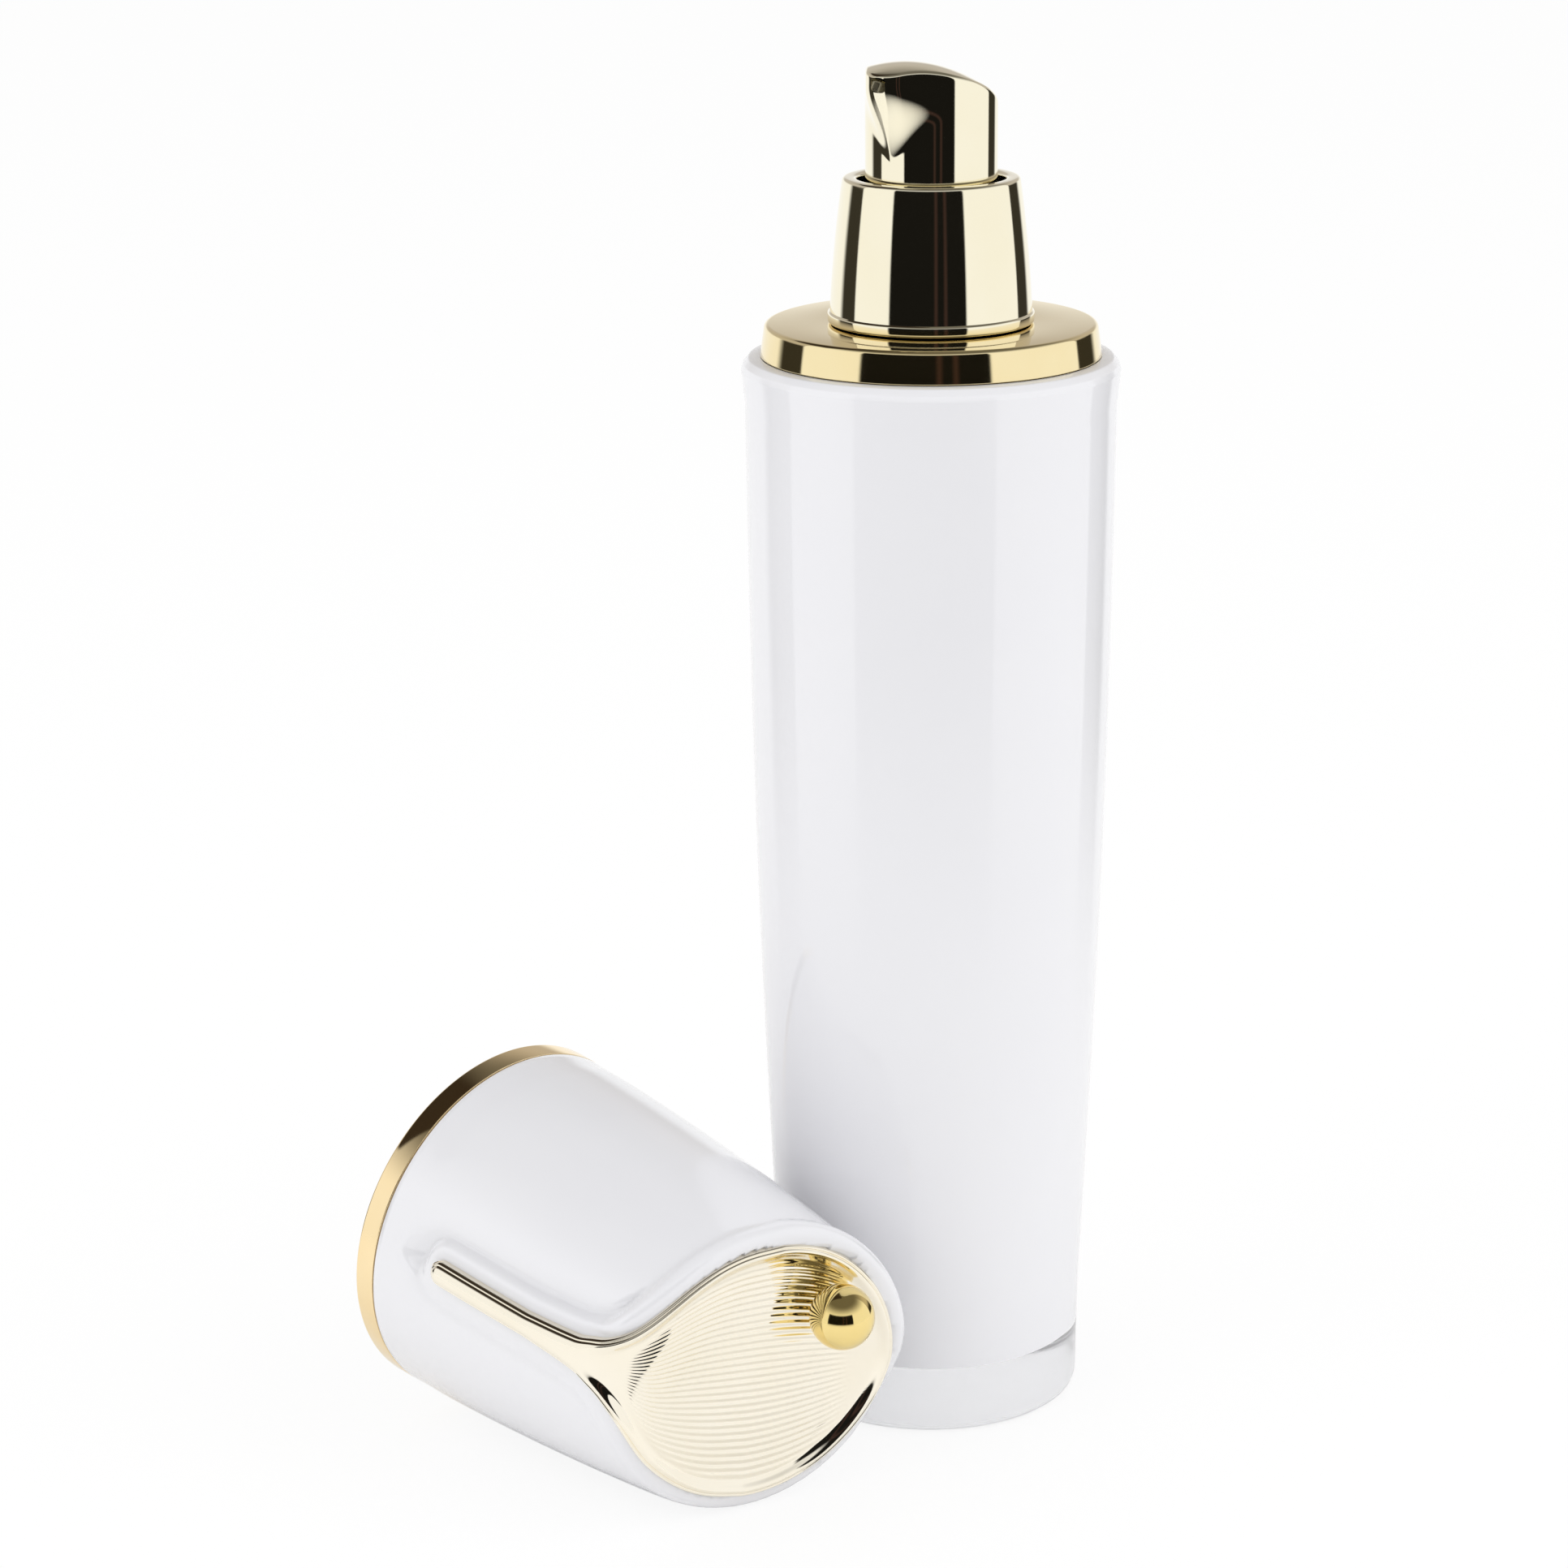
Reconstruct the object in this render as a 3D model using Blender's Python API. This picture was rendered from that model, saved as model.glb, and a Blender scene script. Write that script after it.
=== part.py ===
"""Cosmetic pump bottle with its cap lying beside it.

Blender 4.5, metres, +Z up. The origin is the centre of the bottle's base on the
surface that it stands on, and the bottle's axis is Z. The cap is modelled in its
own frame (mouth at the origin, axis +Z, tail of the ornament towards +X) and laid
down by the empty that carries it.
"""
import math

import bmesh
import bpy
from mathutils import Matrix, Vector

MM = 0.001

# General clearances and mesh resolution
SEAT_GAP = 0.3 * MM
RUNNING_GAP = 0.35 * MM
OVERRUN = 4.0 * MM
MERGE_DISTANCE = 0.001 * MM
LARGE_SEGMENTS = 36
MEDIUM_SEGMENTS = 32
SMALL_SEGMENTS = 20
BALL_SEGMENTS = 14

# Outer bottle
BASE_RADIUS = 19.2 * MM
SIDE_TOP_RADIUS = 22.78 * MM
SIDE_TOP_HEIGHT = 129.3 * MM
SIDE_HEIGHT_SHARES = (0.0, 0.1, 0.2, 0.35, 0.5, 0.65, 0.8, 1.0)
SIDE_RADIUS_SHARES = (0.0, 0.06, 0.23, 0.47, 0.67, 0.81, 0.915, 1.0)
BASE_FILLET = 1.6 * MM
LIP_OVERHANG = 0.42 * MM
LIP_RISE = 4.2 * MM
LIP_ROUND = 0.8 * MM
SHOULDER_RISE = 0.75 * MM
OUTER_WALL = 2.2 * MM
BASE_THICKNESS = 9.0 * MM

# Inner bottle
INNER_WALL = 1.3 * MM
INNER_SHOULDER_DROP = 7.2 * MM
INNER_SHOULDER_RISE = 2.6 * MM
NECK_RADIUS = 8.1 * MM
NECK_WALL = 1.3 * MM
NECK_ABOVE_RING = 8.5 * MM

# Screw thread of the neck and the closure
THREAD_PITCH = 3.175 * MM
THREAD_TURNS = 1.25
THREAD_DEPTH = 0.8 * MM
THREAD_ROOT_WIDTH = 1.3 * MM
THREAD_CREST_WIDTH = 0.6 * MM
THREAD_TOP_DROP = 0.9 * MM
THREAD_STEPS = 20
THREAD_ROOTING = 0.3 * MM

# Shoulder ring
RING_FOOT_INSET = 1.92 * MM
RING_SIDE_TAPER = 0.56 * MM
RING_HEIGHT = 3.65 * MM
RING_EDGE_ROUND = 0.7 * MM
RING_PLATE = 1.4 * MM
RING_SKIRT_WALL = 1.1 * MM

# Closure sleeve
SLEEVE_FOOT_RADIUS = 12.6 * MM
SLEEVE_FOOT_HEIGHT = 1.1 * MM
SLEEVE_LOW_RADIUS = 12.33 * MM
SLEEVE_TOP_RADIUS = 10.75 * MM
SLEEVE_BELLY = 0.2 * MM
SLEEVE_LIP_ROUND = 0.5 * MM
SLEEVE_WALL = 0.95 * MM

# Screw closure
CLOSURE_WALL = 0.85 * MM
CLOSURE_DECK = 1.1 * MM
CLOSURE_SKIRT_GAP = 0.6 * MM

# Pump housing with its gasket and lock collar
GASKET_THICKNESS = 0.8 * MM
FLANGE_THICKNESS = 0.9 * MM
FLANGE_RADIUS = 8.4 * MM
HOUSING_WALL = 1.2 * MM
CHAMBER_LENGTH = 33.8 * MM
SOCKET_LENGTH = 8.0 * MM
SOCKET_WALL = 1.2 * MM
CHANNEL_RADIUS = 1.2 * MM
COLLAR_PLUG_LENGTH = 5.6 * MM
COLLAR_FLANGE = 1.0 * MM
COLLAR_FLANGE_RADIUS = 6.1 * MM

# Dip tube
DIP_TUBE_RADIUS = 2.0 * MM
DIP_TUBE_WALL = 0.65 * MM
DIP_TUBE_FLOOR_GAP = 3.0 * MM

# Valve balls and their seats
INLET_BALL_RADIUS = 1.6 * MM
INLET_BALL_LIFT = 1.0 * MM
OUTLET_BALL_RADIUS = 1.45 * MM
OUTLET_BALL_LIFT = 0.8 * MM
BALL_SEAT_HEIGHT = 1.0 * MM
BALL_TAB_THICKNESS = 0.6 * MM
BALL_TAB_REACH = 1.1 * MM
BALL_TAB_WIDTH = 0.9 * MM
BALL_TABS = 3

# Stem, piston and piston seat
PUMP_STROKE = 4.4 * MM
STROKE_END_GAP = 0.4 * MM
STEM_RADIUS = 2.6 * MM
STEM_BORE_RADIUS = 1.15 * MM
STEM_SOCKET_DEPTH = 3.9 * MM
PISTON_LENGTH = 7.2 * MM
PISTON_WAIST = 0.7 * MM
PISTON_LIP_LENGTH = 1.6 * MM
SEAT_FOOT_RADIUS = 3.7 * MM
SEAT_FOOT_HEIGHT = 1.4 * MM
SEAT_FOOT_TAPER = 0.7 * MM
SEAT_SPIGOT_LENGTH = 3.2 * MM
SEAT_BORE_RADIUS = 0.4 * MM

# Return spring
SPRING_WIRE_RADIUS = 0.4 * MM
SPRING_RADIUS = 3.9 * MM
SPRING_CURLS = 8
SPRING_POINTS_PER_CURL = 10

# Head of the pump
HEAD_RADIUS = 8.0 * MM
HEAD_HEIGHT = 14.85 * MM
HEAD_SINK = 0.7 * MM
HEAD_GAP = 1.0 * MM
HEAD_WALL = 0.95 * MM
HEAD_CROWN_RADIUS = 14.1 * MM
HEAD_CROWN_FORWARD = 5.1 * MM
HEAD_CROSS_RADIUS = 16.9 * MM
HEAD_EDGE_ROUND = 0.9 * MM
HEAD_CAVITY_HEIGHT = 5.3 * MM
HEAD_BACK_STEPS = 16
HEAD_SPOUT_STEPS = 20
HEAD_SIDE_SHARES = (0.0, 0.42, 0.56, 0.66, 0.76, 0.86, 1.0)
HEAD_TOP_SHARES = (0.72, 0.42)
SPOUT_AZIMUTH_DEG = -129.0
SPOUT_REACH = 2.7 * MM
SPOUT_TIP_HALF_DEG = 8.0
SPOUT_ROOT_HALF_DEG = 33.0
SPOUT_UNDERSIDE_DROP = 7.6 * MM
SPOUT_UNDERSIDE_RISE = 3.6 * MM
SPOUT_HOLE_DROP = 1.95 * MM
SPOUT_SLOPE_DEG = 17.0
SPOUT_RECESS = 0.5 * MM
ARM_RADIUS = 0.75 * MM
ARM_BORE_RADIUS = 0.45 * MM
RISER_RADIUS = 0.9 * MM
TOWER_RADIUS = 2.5 * MM
TOWER_ROOF = 0.8 * MM
INSERT_RISE = 0.3 * MM

# Cap: the side runs from the mouth to a closed end that the slanted face cuts away
CAP_END_RADIUS = 17.5 * MM
CAP_LENGTH = 57.0 * MM
CAP_BELLY = 0.93 * MM
CAP_WALL = 2.2 * MM
CAP_SIDE_STEPS = 7
CAP_CAVITY_DOME = 10.1 * MM
CAP_CAVITY_RADIUS_SHARES = (0.93, 0.77, 0.5)
CAP_CAVITY_HEIGHT_SHARES = (0.48, 0.8, 0.95)
CAP_RING_HEIGHT = 2.8 * MM
CAP_RING_WALL = 1.8 * MM
LINER_WALL = 1.0 * MM
LINER_START = 6.0 * MM

# Slanted face and spoon-shaped ornament, as a curve in the cap's middle plane
FACE_INSET = 7.3 * MM
FACE_BACKING = 8.1 * MM
FACE_TILT_DEG = 14.7
BEND_REACH = 7.7 * MM
BEND_STEPS = 6
TAIL_START = 12.7 * MM
TAIL_PROUD = 1.0 * MM
TAIL_STEPS = 4
TAIL_HALF_WIDTH = 1.6 * MM
TIP_LEAN = 2.8 * MM
NECK_LEAN = 1.7 * MM
NECK_LEAN_RUN = 12.0 * MM
BOWL_HALF_WIDTH = 16.9 * MM
BOWL_WIDEST_RUN = 26.2 * MM
BOWL_FAR_INSET = 1.4 * MM
BOWL_END_POWER_SHARE = 0.58
SPOON_RUN_SHARES = (-0.3, 0.0, 0.08, 0.16, 0.27, 0.435, 0.565, 0.69, 0.82, 1.0)
SPOON_WIDTH_SHARES = (0.0, 0.045, 0.088, 0.147, 0.29, 0.577, 0.752, 0.876, 0.954, 1.0)
FACE_END_SHARES = (0.0, 0.16, 0.33, 0.5, 0.65, 0.78, 0.88, 0.95, 0.99)
FACE_DROP = 1.6 * MM
FACE_RUN_OUT = 3.0 * MM
POCKET_GAP = 0.42 * MM
LIP_WIDTH = 1.9 * MM
LIP_SIDE_INSET = 0.4 * MM
LIP_BELOW = 0.4 * MM
LIP_RAMP = 8.0 * MM
PLATE_TAIL_THICKNESS = 1.3 * MM
PLATE_THICKNESS = 2.2 * MM
PLATE_ROW_SHARES = (-1.0, -0.93, -0.8, -0.55, -0.25, 0.0, 0.25, 0.55, 0.8, 0.93, 1.0)
DISH_BORDER = 1.2 * MM
DISH_RUN = 9.0 * MM
DISH_DEPTH = 1.2 * MM

# Bead with its pin
BEAD_RADIUS = 3.7 * MM
BEAD_CENTRE_ABOVE = 2.6 * MM
BEAD_BEHIND = 7.0 * MM
BEAD_SIDE = 8.0 * MM
BEAD_PIN_RADIUS = 0.9 * MM
BEAD_BASE_ABOVE = 0.05 * MM
BEAD_RINGS = 9

# Where the cap lies: its mouth's centre beside the bottle, and how it is turned
CAP_MOUTH_X = -55.9 * MM
CAP_MOUTH_Y = -6.4 * MM
CAP_YAW_DEG = -44.2
CAP_TILT_DEG = 8.0
CAP_ROLL_DEG = -95.5

# Heights that follow from the sizes above
LIP_HEIGHT = SIDE_TOP_HEIGHT + LIP_RISE
SHOULDER_HEIGHT = LIP_HEIGHT + LIP_ROUND + SHOULDER_RISE
RING_FOOT = SHOULDER_HEIGHT + SEAT_GAP
RING_TOP = RING_FOOT + RING_HEIGHT
SLEEVE_FOOT = RING_TOP + SEAT_GAP
NECK_TOP = RING_TOP + NECK_ABOVE_RING
GASKET_BOTTOM = NECK_TOP + SEAT_GAP
FLANGE_BOTTOM = GASKET_BOTTOM + GASKET_THICKNESS + SEAT_GAP
FLANGE_TOP = FLANGE_BOTTOM + FLANGE_THICKNESS
DECK_BOTTOM = FLANGE_TOP + SEAT_GAP
DECK_TOP = DECK_BOTTOM + CLOSURE_DECK
CHAMBER_FLOOR = FLANGE_TOP - CHAMBER_LENGTH
COLLAR_BOTTOM = FLANGE_TOP - COLLAR_PLUG_LENGTH
PISTON_TOP = COLLAR_BOTTOM - SEAT_GAP
PISTON_BOTTOM = PISTON_TOP - PISTON_LENGTH
SEAT_FOOT_TOP = PISTON_BOTTOM - SEAT_GAP
SEAT_FOOT_BOTTOM = SEAT_FOOT_TOP - SEAT_FOOT_HEIGHT
HEAD_BOTTOM = DECK_TOP + PUMP_STROKE + STROKE_END_GAP
SLEEVE_TOP = HEAD_BOTTOM + HEAD_SINK
HEAD_TOP = HEAD_BOTTOM + HEAD_HEIGHT
INSERT_BOTTOM = HEAD_BOTTOM + INSERT_RISE
STEM_TOP = INSERT_BOTTOM + STEM_SOCKET_DEPTH
FACE_HEIGHT = CAP_LENGTH - FACE_INSET
CAP_CAVITY_TOP = FACE_HEIGHT - FACE_BACKING
CAP_CAVITY_SIDE_HEIGHT = CAP_CAVITY_TOP - CAP_CAVITY_DOME

# Radii that follow from the sizes above
LIP_RADIUS = SIDE_TOP_RADIUS + LIP_OVERHANG
RING_FOOT_RADIUS = SIDE_TOP_RADIUS - RING_FOOT_INSET
RING_TOP_RADIUS = RING_FOOT_RADIUS - RING_SIDE_TAPER
NECK_BORE = NECK_RADIUS - NECK_WALL
HOUSING_RADIUS = NECK_BORE - RUNNING_GAP
CHAMBER_RADIUS = HOUSING_RADIUS - HOUSING_WALL
SOCKET_BORE = DIP_TUBE_RADIUS + SEAT_GAP
SOCKET_RADIUS = SOCKET_BORE + SOCKET_WALL
BALL_BORE = INLET_BALL_RADIUS + RUNNING_GAP
THREAD_RADIUS = NECK_RADIUS + THREAD_DEPTH
CLOSURE_BORE = THREAD_RADIUS + SEAT_GAP
CLOSURE_RADIUS = CLOSURE_BORE + CLOSURE_WALL
DECK_HOLE = COLLAR_FLANGE_RADIUS + RUNNING_GAP
SLEEVE_OPENING = HEAD_RADIUS + HEAD_GAP
RING_HOLE = THREAD_RADIUS + RUNNING_GAP
STEM_GUIDE = STEM_RADIUS + RUNNING_GAP
STEM_BALL_BORE = OUTLET_BALL_RADIUS + RUNNING_GAP
HEAD_CAVITY = HEAD_RADIUS - HEAD_WALL
CAP_MOUTH_RADIUS = LIP_RADIUS - SEAT_GAP / 3


def material(name, colour, roughness, metallic, alpha=1.0):
    """A plain Principled material for one sub-part."""
    made = bpy.data.materials.new(name)
    made.use_nodes = True
    shader = made.node_tree.nodes["Principled BSDF"]
    shader.inputs["Base Color"].default_value = (*colour, 1.0)
    shader.inputs["Roughness"].default_value = roughness
    shader.inputs["Metallic"].default_value = metallic
    shader.inputs["Alpha"].default_value = alpha
    return made


def gold(name):
    return material(name, (0.86, 0.74, 0.47), 0.12, 1.0)


def white(name):
    return material(name, (0.87, 0.87, 0.89), 0.25, 0.0)


def add_object(name, mesh, finish, parent=None):
    made = bpy.data.objects.new(name, mesh)
    bpy.context.scene.collection.objects.link(made)
    mesh.materials.clear()
    mesh.materials.append(finish)
    made.parent = parent
    return made


def finish_mesh(name, bm, smooth_angle=math.radians(35)):
    """Close a bmesh into a mesh with outward faces and smooth rounded sides."""
    bmesh.ops.recalc_face_normals(bm, faces=bm.faces)
    mesh = bpy.data.meshes.new(name)
    bm.to_mesh(mesh)
    bm.free()
    mesh.shade_smooth()
    mesh.set_sharp_from_angle(angle=smooth_angle)
    return mesh


def turned_mesh(name, profile, segments):
    """Spin a profile of (radius, height) points round Z into a closed solid."""
    bm = bmesh.new()
    verts = [bm.verts.new((radius, 0, height)) for radius, height in profile]
    edges = [bm.edges.new(pair) for pair in zip(verts, verts[1:])]
    if profile[0][0] > 0 or profile[-1][0] > 0:
        edges.append(bm.edges.new((verts[-1], verts[0])))
    bmesh.ops.spin(bm, geom=verts + edges, cent=(0, 0, 0), axis=(0, 0, 1),
                   angle=math.tau, steps=segments, use_merge=True)
    bmesh.ops.remove_doubles(bm, verts=bm.verts, dist=MERGE_DISTANCE)
    return finish_mesh(name, bm)


def turned(name, profile, segments, finish, parent=None):
    return add_object(name, turned_mesh(name, profile, segments), finish, parent)


def cylinder_between(name, start, end, radius, segments, finish):
    """A closed cylinder from one point to another."""
    start, end = Vector(start), Vector(end)
    length = (end - start).length
    profile = [(0, 0), (radius, 0), (radius, length), (0, length)]
    made = turned(name, profile, segments, finish)
    turn = (end - start).to_track_quat("Z", "Y").to_matrix().to_4x4()
    made.data.transform(Matrix.Translation(start) @ turn)
    return made


def boolean(target, tool, operation):
    """Combine a tool into a target and leave the tool as a hidden wire guide."""
    modifier = target.modifiers.new(tool.name, "BOOLEAN")
    modifier.object = tool
    modifier.operation = operation
    modifier.solver = "EXACT"
    tool.hide_render = True
    tool.display_type = "WIRE"


def smooth_step(value):
    value = min(max(value, 0.0), 1.0)
    return value * value * (3 - 2 * value)


def smooth_table(places, values, place):
    """Read a table with a cubic curve through its points."""
    index = max(i for i in range(len(places) - 1) if place >= places[i] or i == 0)

    def slope(i):
        low, high = max(i - 1, 0), min(i + 1, len(places) - 1)
        return (values[high] - values[low]) / (places[high] - places[low])

    span = places[index + 1] - places[index]
    t = (place - places[index]) / span
    start, end = values[index], values[index + 1]
    return (start * (1 + 2 * t) * (1 - t) ** 2 + end * t * t * (3 - 2 * t)
            + span * (slope(index) * t * (1 - t) ** 2 - slope(index + 1) * t * t * (1 - t)))


def side_radius(height):
    """Outer radius of the bottle's side at a height."""
    share = smooth_table(SIDE_HEIGHT_SHARES, SIDE_RADIUS_SHARES, height / SIDE_TOP_HEIGHT)
    return BASE_RADIUS + (SIDE_TOP_RADIUS - BASE_RADIUS) * share


def sleeve_radius(height):
    """Outer radius of the sleeve's barrel at a height above the table."""
    low = SLEEVE_FOOT + SLEEVE_FOOT_HEIGHT
    share = (height - low) / (SLEEVE_TOP - low)
    straight = SLEEVE_LOW_RADIUS + (SLEEVE_TOP_RADIUS - SLEEVE_LOW_RADIUS) * share
    return straight + SLEEVE_BELLY * 4 * share * (1 - share)


def arc_points(centre, radius, start_deg, end_deg, steps):
    """Points of an arc in a profile plane, both ends included."""
    angles = [math.radians(start_deg + (end_deg - start_deg) * i / steps) for i in range(steps + 1)]
    return [(centre[0] + radius * math.cos(a), centre[1] + radius * math.sin(a)) for a in angles]


def ball_rest(seat_low_radius, seat_high_radius, seat_bottom, ball_radius):
    """Height of a ball's centre where it clears its conical seat by the seat gap."""
    run = seat_high_radius - seat_low_radius
    slant = math.hypot(run, BALL_SEAT_HEIGHT)
    reach = (ball_radius + SEAT_GAP) * slant
    return seat_bottom + (reach - seat_low_radius * BALL_SEAT_HEIGHT) / run


def make_outer_bottle():
    side = [SIDE_TOP_HEIGHT * share for share in SIDE_HEIGHT_SHARES]
    base = (side_radius(0) - BASE_FILLET, BASE_FILLET)
    profile = [(0, 0)] + arc_points(base, BASE_FILLET, -90, 0, 3)
    profile += [(side_radius(z), z) for z in side[1:]]
    profile += [(LIP_RADIUS, LIP_HEIGHT)]
    profile += [(LIP_RADIUS - LIP_ROUND / 3, LIP_HEIGHT + LIP_ROUND * 2 / 3)]
    profile += [(LIP_RADIUS - LIP_ROUND, LIP_HEIGHT + LIP_ROUND)]
    profile += [(side_radius(SIDE_TOP_HEIGHT) - OUTER_WALL, SHOULDER_HEIGHT)]
    inside = [z for z in side if z > BASE_THICKNESS * 2]
    profile += [(side_radius(z) - OUTER_WALL, z) for z in reversed(inside)]
    profile += [(side_radius(BASE_THICKNESS) - OUTER_WALL, BASE_THICKNESS)]
    profile += [(0, BASE_THICKNESS)]
    return turned("outer_bottle", profile, LARGE_SEGMENTS,
                  material("clear_acrylic", (0.94, 0.95, 0.97), 0.03, 0.0, 0.35))


def inner_radius(height):
    return side_radius(height) - OUTER_WALL - SEAT_GAP


def helix_ridge(name, base_radius, depth, bottom, finish):
    """A thread ridge: a tapered section swept along a right-handed helix.

    depth is positive for a ridge that stands outwards and negative for one that
    stands inwards. The section starts inside its wall by the rooting depth.
    """
    root = base_radius - math.copysign(THREAD_ROOTING, depth)
    crest = base_radius + depth
    section = [(root, -THREAD_ROOT_WIDTH / 2), (crest, -THREAD_CREST_WIDTH / 2),
               (crest, THREAD_CREST_WIDTH / 2), (root, THREAD_ROOT_WIDTH / 2)]
    steps = round(THREAD_TURNS * THREAD_STEPS)
    bm = bmesh.new()
    rings = []
    for step in range(steps + 1):
        angle = math.tau * step / THREAD_STEPS
        rise = bottom + THREAD_PITCH * step / THREAD_STEPS
        rings.append([bm.verts.new((r * math.cos(angle), r * math.sin(angle), rise + z))
                      for r, z in section])
    for low, high in zip(rings, rings[1:]):
        for i in range(len(section)):
            j = (i + 1) % len(section)
            bm.faces.new((low[i], low[j], high[j], high[i]))
    bm.faces.new(rings[0])
    bm.faces.new(reversed(rings[-1]))
    return add_object(name, finish_mesh(name, bm), finish)


def neck_thread_bottom():
    top = NECK_TOP - THREAD_TOP_DROP - THREAD_ROOT_WIDTH / 2
    return top - THREAD_PITCH * THREAD_TURNS


def make_inner_bottle():
    floor = BASE_THICKNESS + SEAT_GAP
    corner = RING_FOOT - INNER_SHOULDER_DROP
    low_side = [SIDE_TOP_HEIGHT * s for s in SIDE_HEIGHT_SHARES]
    low_side = [z for z in low_side if BASE_THICKNESS * 2 < z < corner - INNER_SHOULDER_RISE]
    side = [floor] + low_side + [corner - INNER_WALL]
    outer = [(0, floor)] + [(inner_radius(z), z) for z in side]
    outer += [(inner_radius(corner) - INNER_WALL, corner)]
    outer += [(NECK_RADIUS + INNER_WALL, corner + INNER_SHOULDER_RISE)]
    outer += [(NECK_RADIUS, corner + INNER_SHOULDER_RISE + INNER_WALL), (NECK_RADIUS, NECK_TOP)]
    inside = [(NECK_BORE, NECK_TOP), (NECK_BORE, corner + INNER_SHOULDER_RISE - INNER_WALL)]
    inside += [(inner_radius(corner) - INNER_WALL * 2, corner - INNER_WALL)]
    inside += [(inner_radius(z) - INNER_WALL, z) for z in reversed(low_side)]
    inside += [(inner_radius(floor) - INNER_WALL, floor + INNER_WALL), (0, floor + INNER_WALL)]
    finish = white("white_inner_bottle")
    bottle = turned("inner_bottle", outer + inside, LARGE_SEGMENTS, finish)
    thread = helix_ridge("neck_thread_guide", NECK_RADIUS, THREAD_DEPTH,
                         neck_thread_bottom(), finish)
    boolean(bottle, thread, "UNION")


def make_shoulder_ring():
    skirt = inner_radius(SIDE_TOP_HEIGHT)
    skirt_foot = RING_FOOT - INNER_SHOULDER_DROP + SEAT_GAP
    edge = (RING_TOP_RADIUS - RING_EDGE_ROUND, RING_TOP - RING_EDGE_ROUND)
    profile = [(RING_HOLE, RING_TOP), (RING_HOLE, RING_TOP - RING_PLATE)]
    profile += [(skirt - RING_SKIRT_WALL, RING_TOP - RING_PLATE), (skirt - RING_SKIRT_WALL, skirt_foot)]
    profile += [(skirt, skirt_foot), (skirt, RING_FOOT), (RING_FOOT_RADIUS, RING_FOOT)]
    profile += arc_points(edge, RING_EDGE_ROUND, 0, 90, 3)
    turned("shoulder_ring", profile, LARGE_SEGMENTS, gold("gold_ring"))


def make_screw_closure():
    foot = RING_TOP + CLOSURE_SKIRT_GAP
    profile = [(CLOSURE_RADIUS, foot), (CLOSURE_RADIUS, DECK_TOP), (DECK_HOLE, DECK_TOP),
               (DECK_HOLE, DECK_BOTTOM), (CLOSURE_BORE, DECK_BOTTOM), (CLOSURE_BORE, foot)]
    finish = white("white_closure")
    closure = turned("screw_closure", profile, MEDIUM_SEGMENTS, finish)
    depth = THREAD_DEPTH + SEAT_GAP - RUNNING_GAP
    thread = helix_ridge("closure_thread_guide", CLOSURE_BORE, -depth,
                         neck_thread_bottom() - THREAD_PITCH / 2, finish)
    boolean(closure, thread, "UNION")


def make_closure_sleeve():
    barrel = SLEEVE_FOOT + SLEEVE_FOOT_HEIGHT
    shelf = DECK_TOP + SEAT_GAP
    heights = [barrel + (SLEEVE_TOP - SLEEVE_LIP_ROUND - barrel) * i / 5 for i in range(6)]
    bead = (SLEEVE_FOOT_RADIUS - SLEEVE_FOOT_HEIGHT / 2, SLEEVE_FOOT + SLEEVE_FOOT_HEIGHT / 2)
    lip = (SLEEVE_TOP_RADIUS - SLEEVE_LIP_ROUND, SLEEVE_TOP - SLEEVE_LIP_ROUND)
    profile = arc_points(bead, SLEEVE_FOOT_HEIGHT / 2, -90, 45, 3)
    profile += [(sleeve_radius(z), z) for z in heights]
    profile += arc_points(lip, SLEEVE_LIP_ROUND, 30, 90, 2)
    profile += [(SLEEVE_OPENING, SLEEVE_TOP - SLEEVE_LIP_ROUND), (SLEEVE_OPENING, shelf)]
    profile += [(sleeve_radius(shelf) - SLEEVE_WALL, shelf)]
    profile += [(sleeve_radius(barrel) - SLEEVE_WALL, barrel)]
    profile += [(sleeve_radius(barrel) - SLEEVE_WALL, SLEEVE_FOOT)]
    turned("closure_sleeve", profile, MEDIUM_SEGMENTS, gold("gold_sleeve"))


def make_gasket():
    top = GASKET_BOTTOM + GASKET_THICKNESS
    inner = HOUSING_RADIUS + SEAT_GAP
    profile = [(inner, GASKET_BOTTOM), (FLANGE_RADIUS, GASKET_BOTTOM), (FLANGE_RADIUS, top), (inner, top)]
    turned("neck_gasket", profile, MEDIUM_SEGMENTS, material("grey_rubber", (0.6, 0.6, 0.62), 0.6, 0.0))


def inlet_seat_bottom():
    """Bottom of the inlet ball's conical seat, so that the ball's lift ends under the tabs."""
    tab_bottom = CHAMBER_FLOOR - BALL_TAB_THICKNESS
    top_of_ball = tab_bottom - SEAT_GAP - INLET_BALL_LIFT
    centre = top_of_ball - INLET_BALL_RADIUS
    return centre - ball_rest(CHANNEL_RADIUS, BALL_BORE, 0, INLET_BALL_RADIUS)


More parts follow.
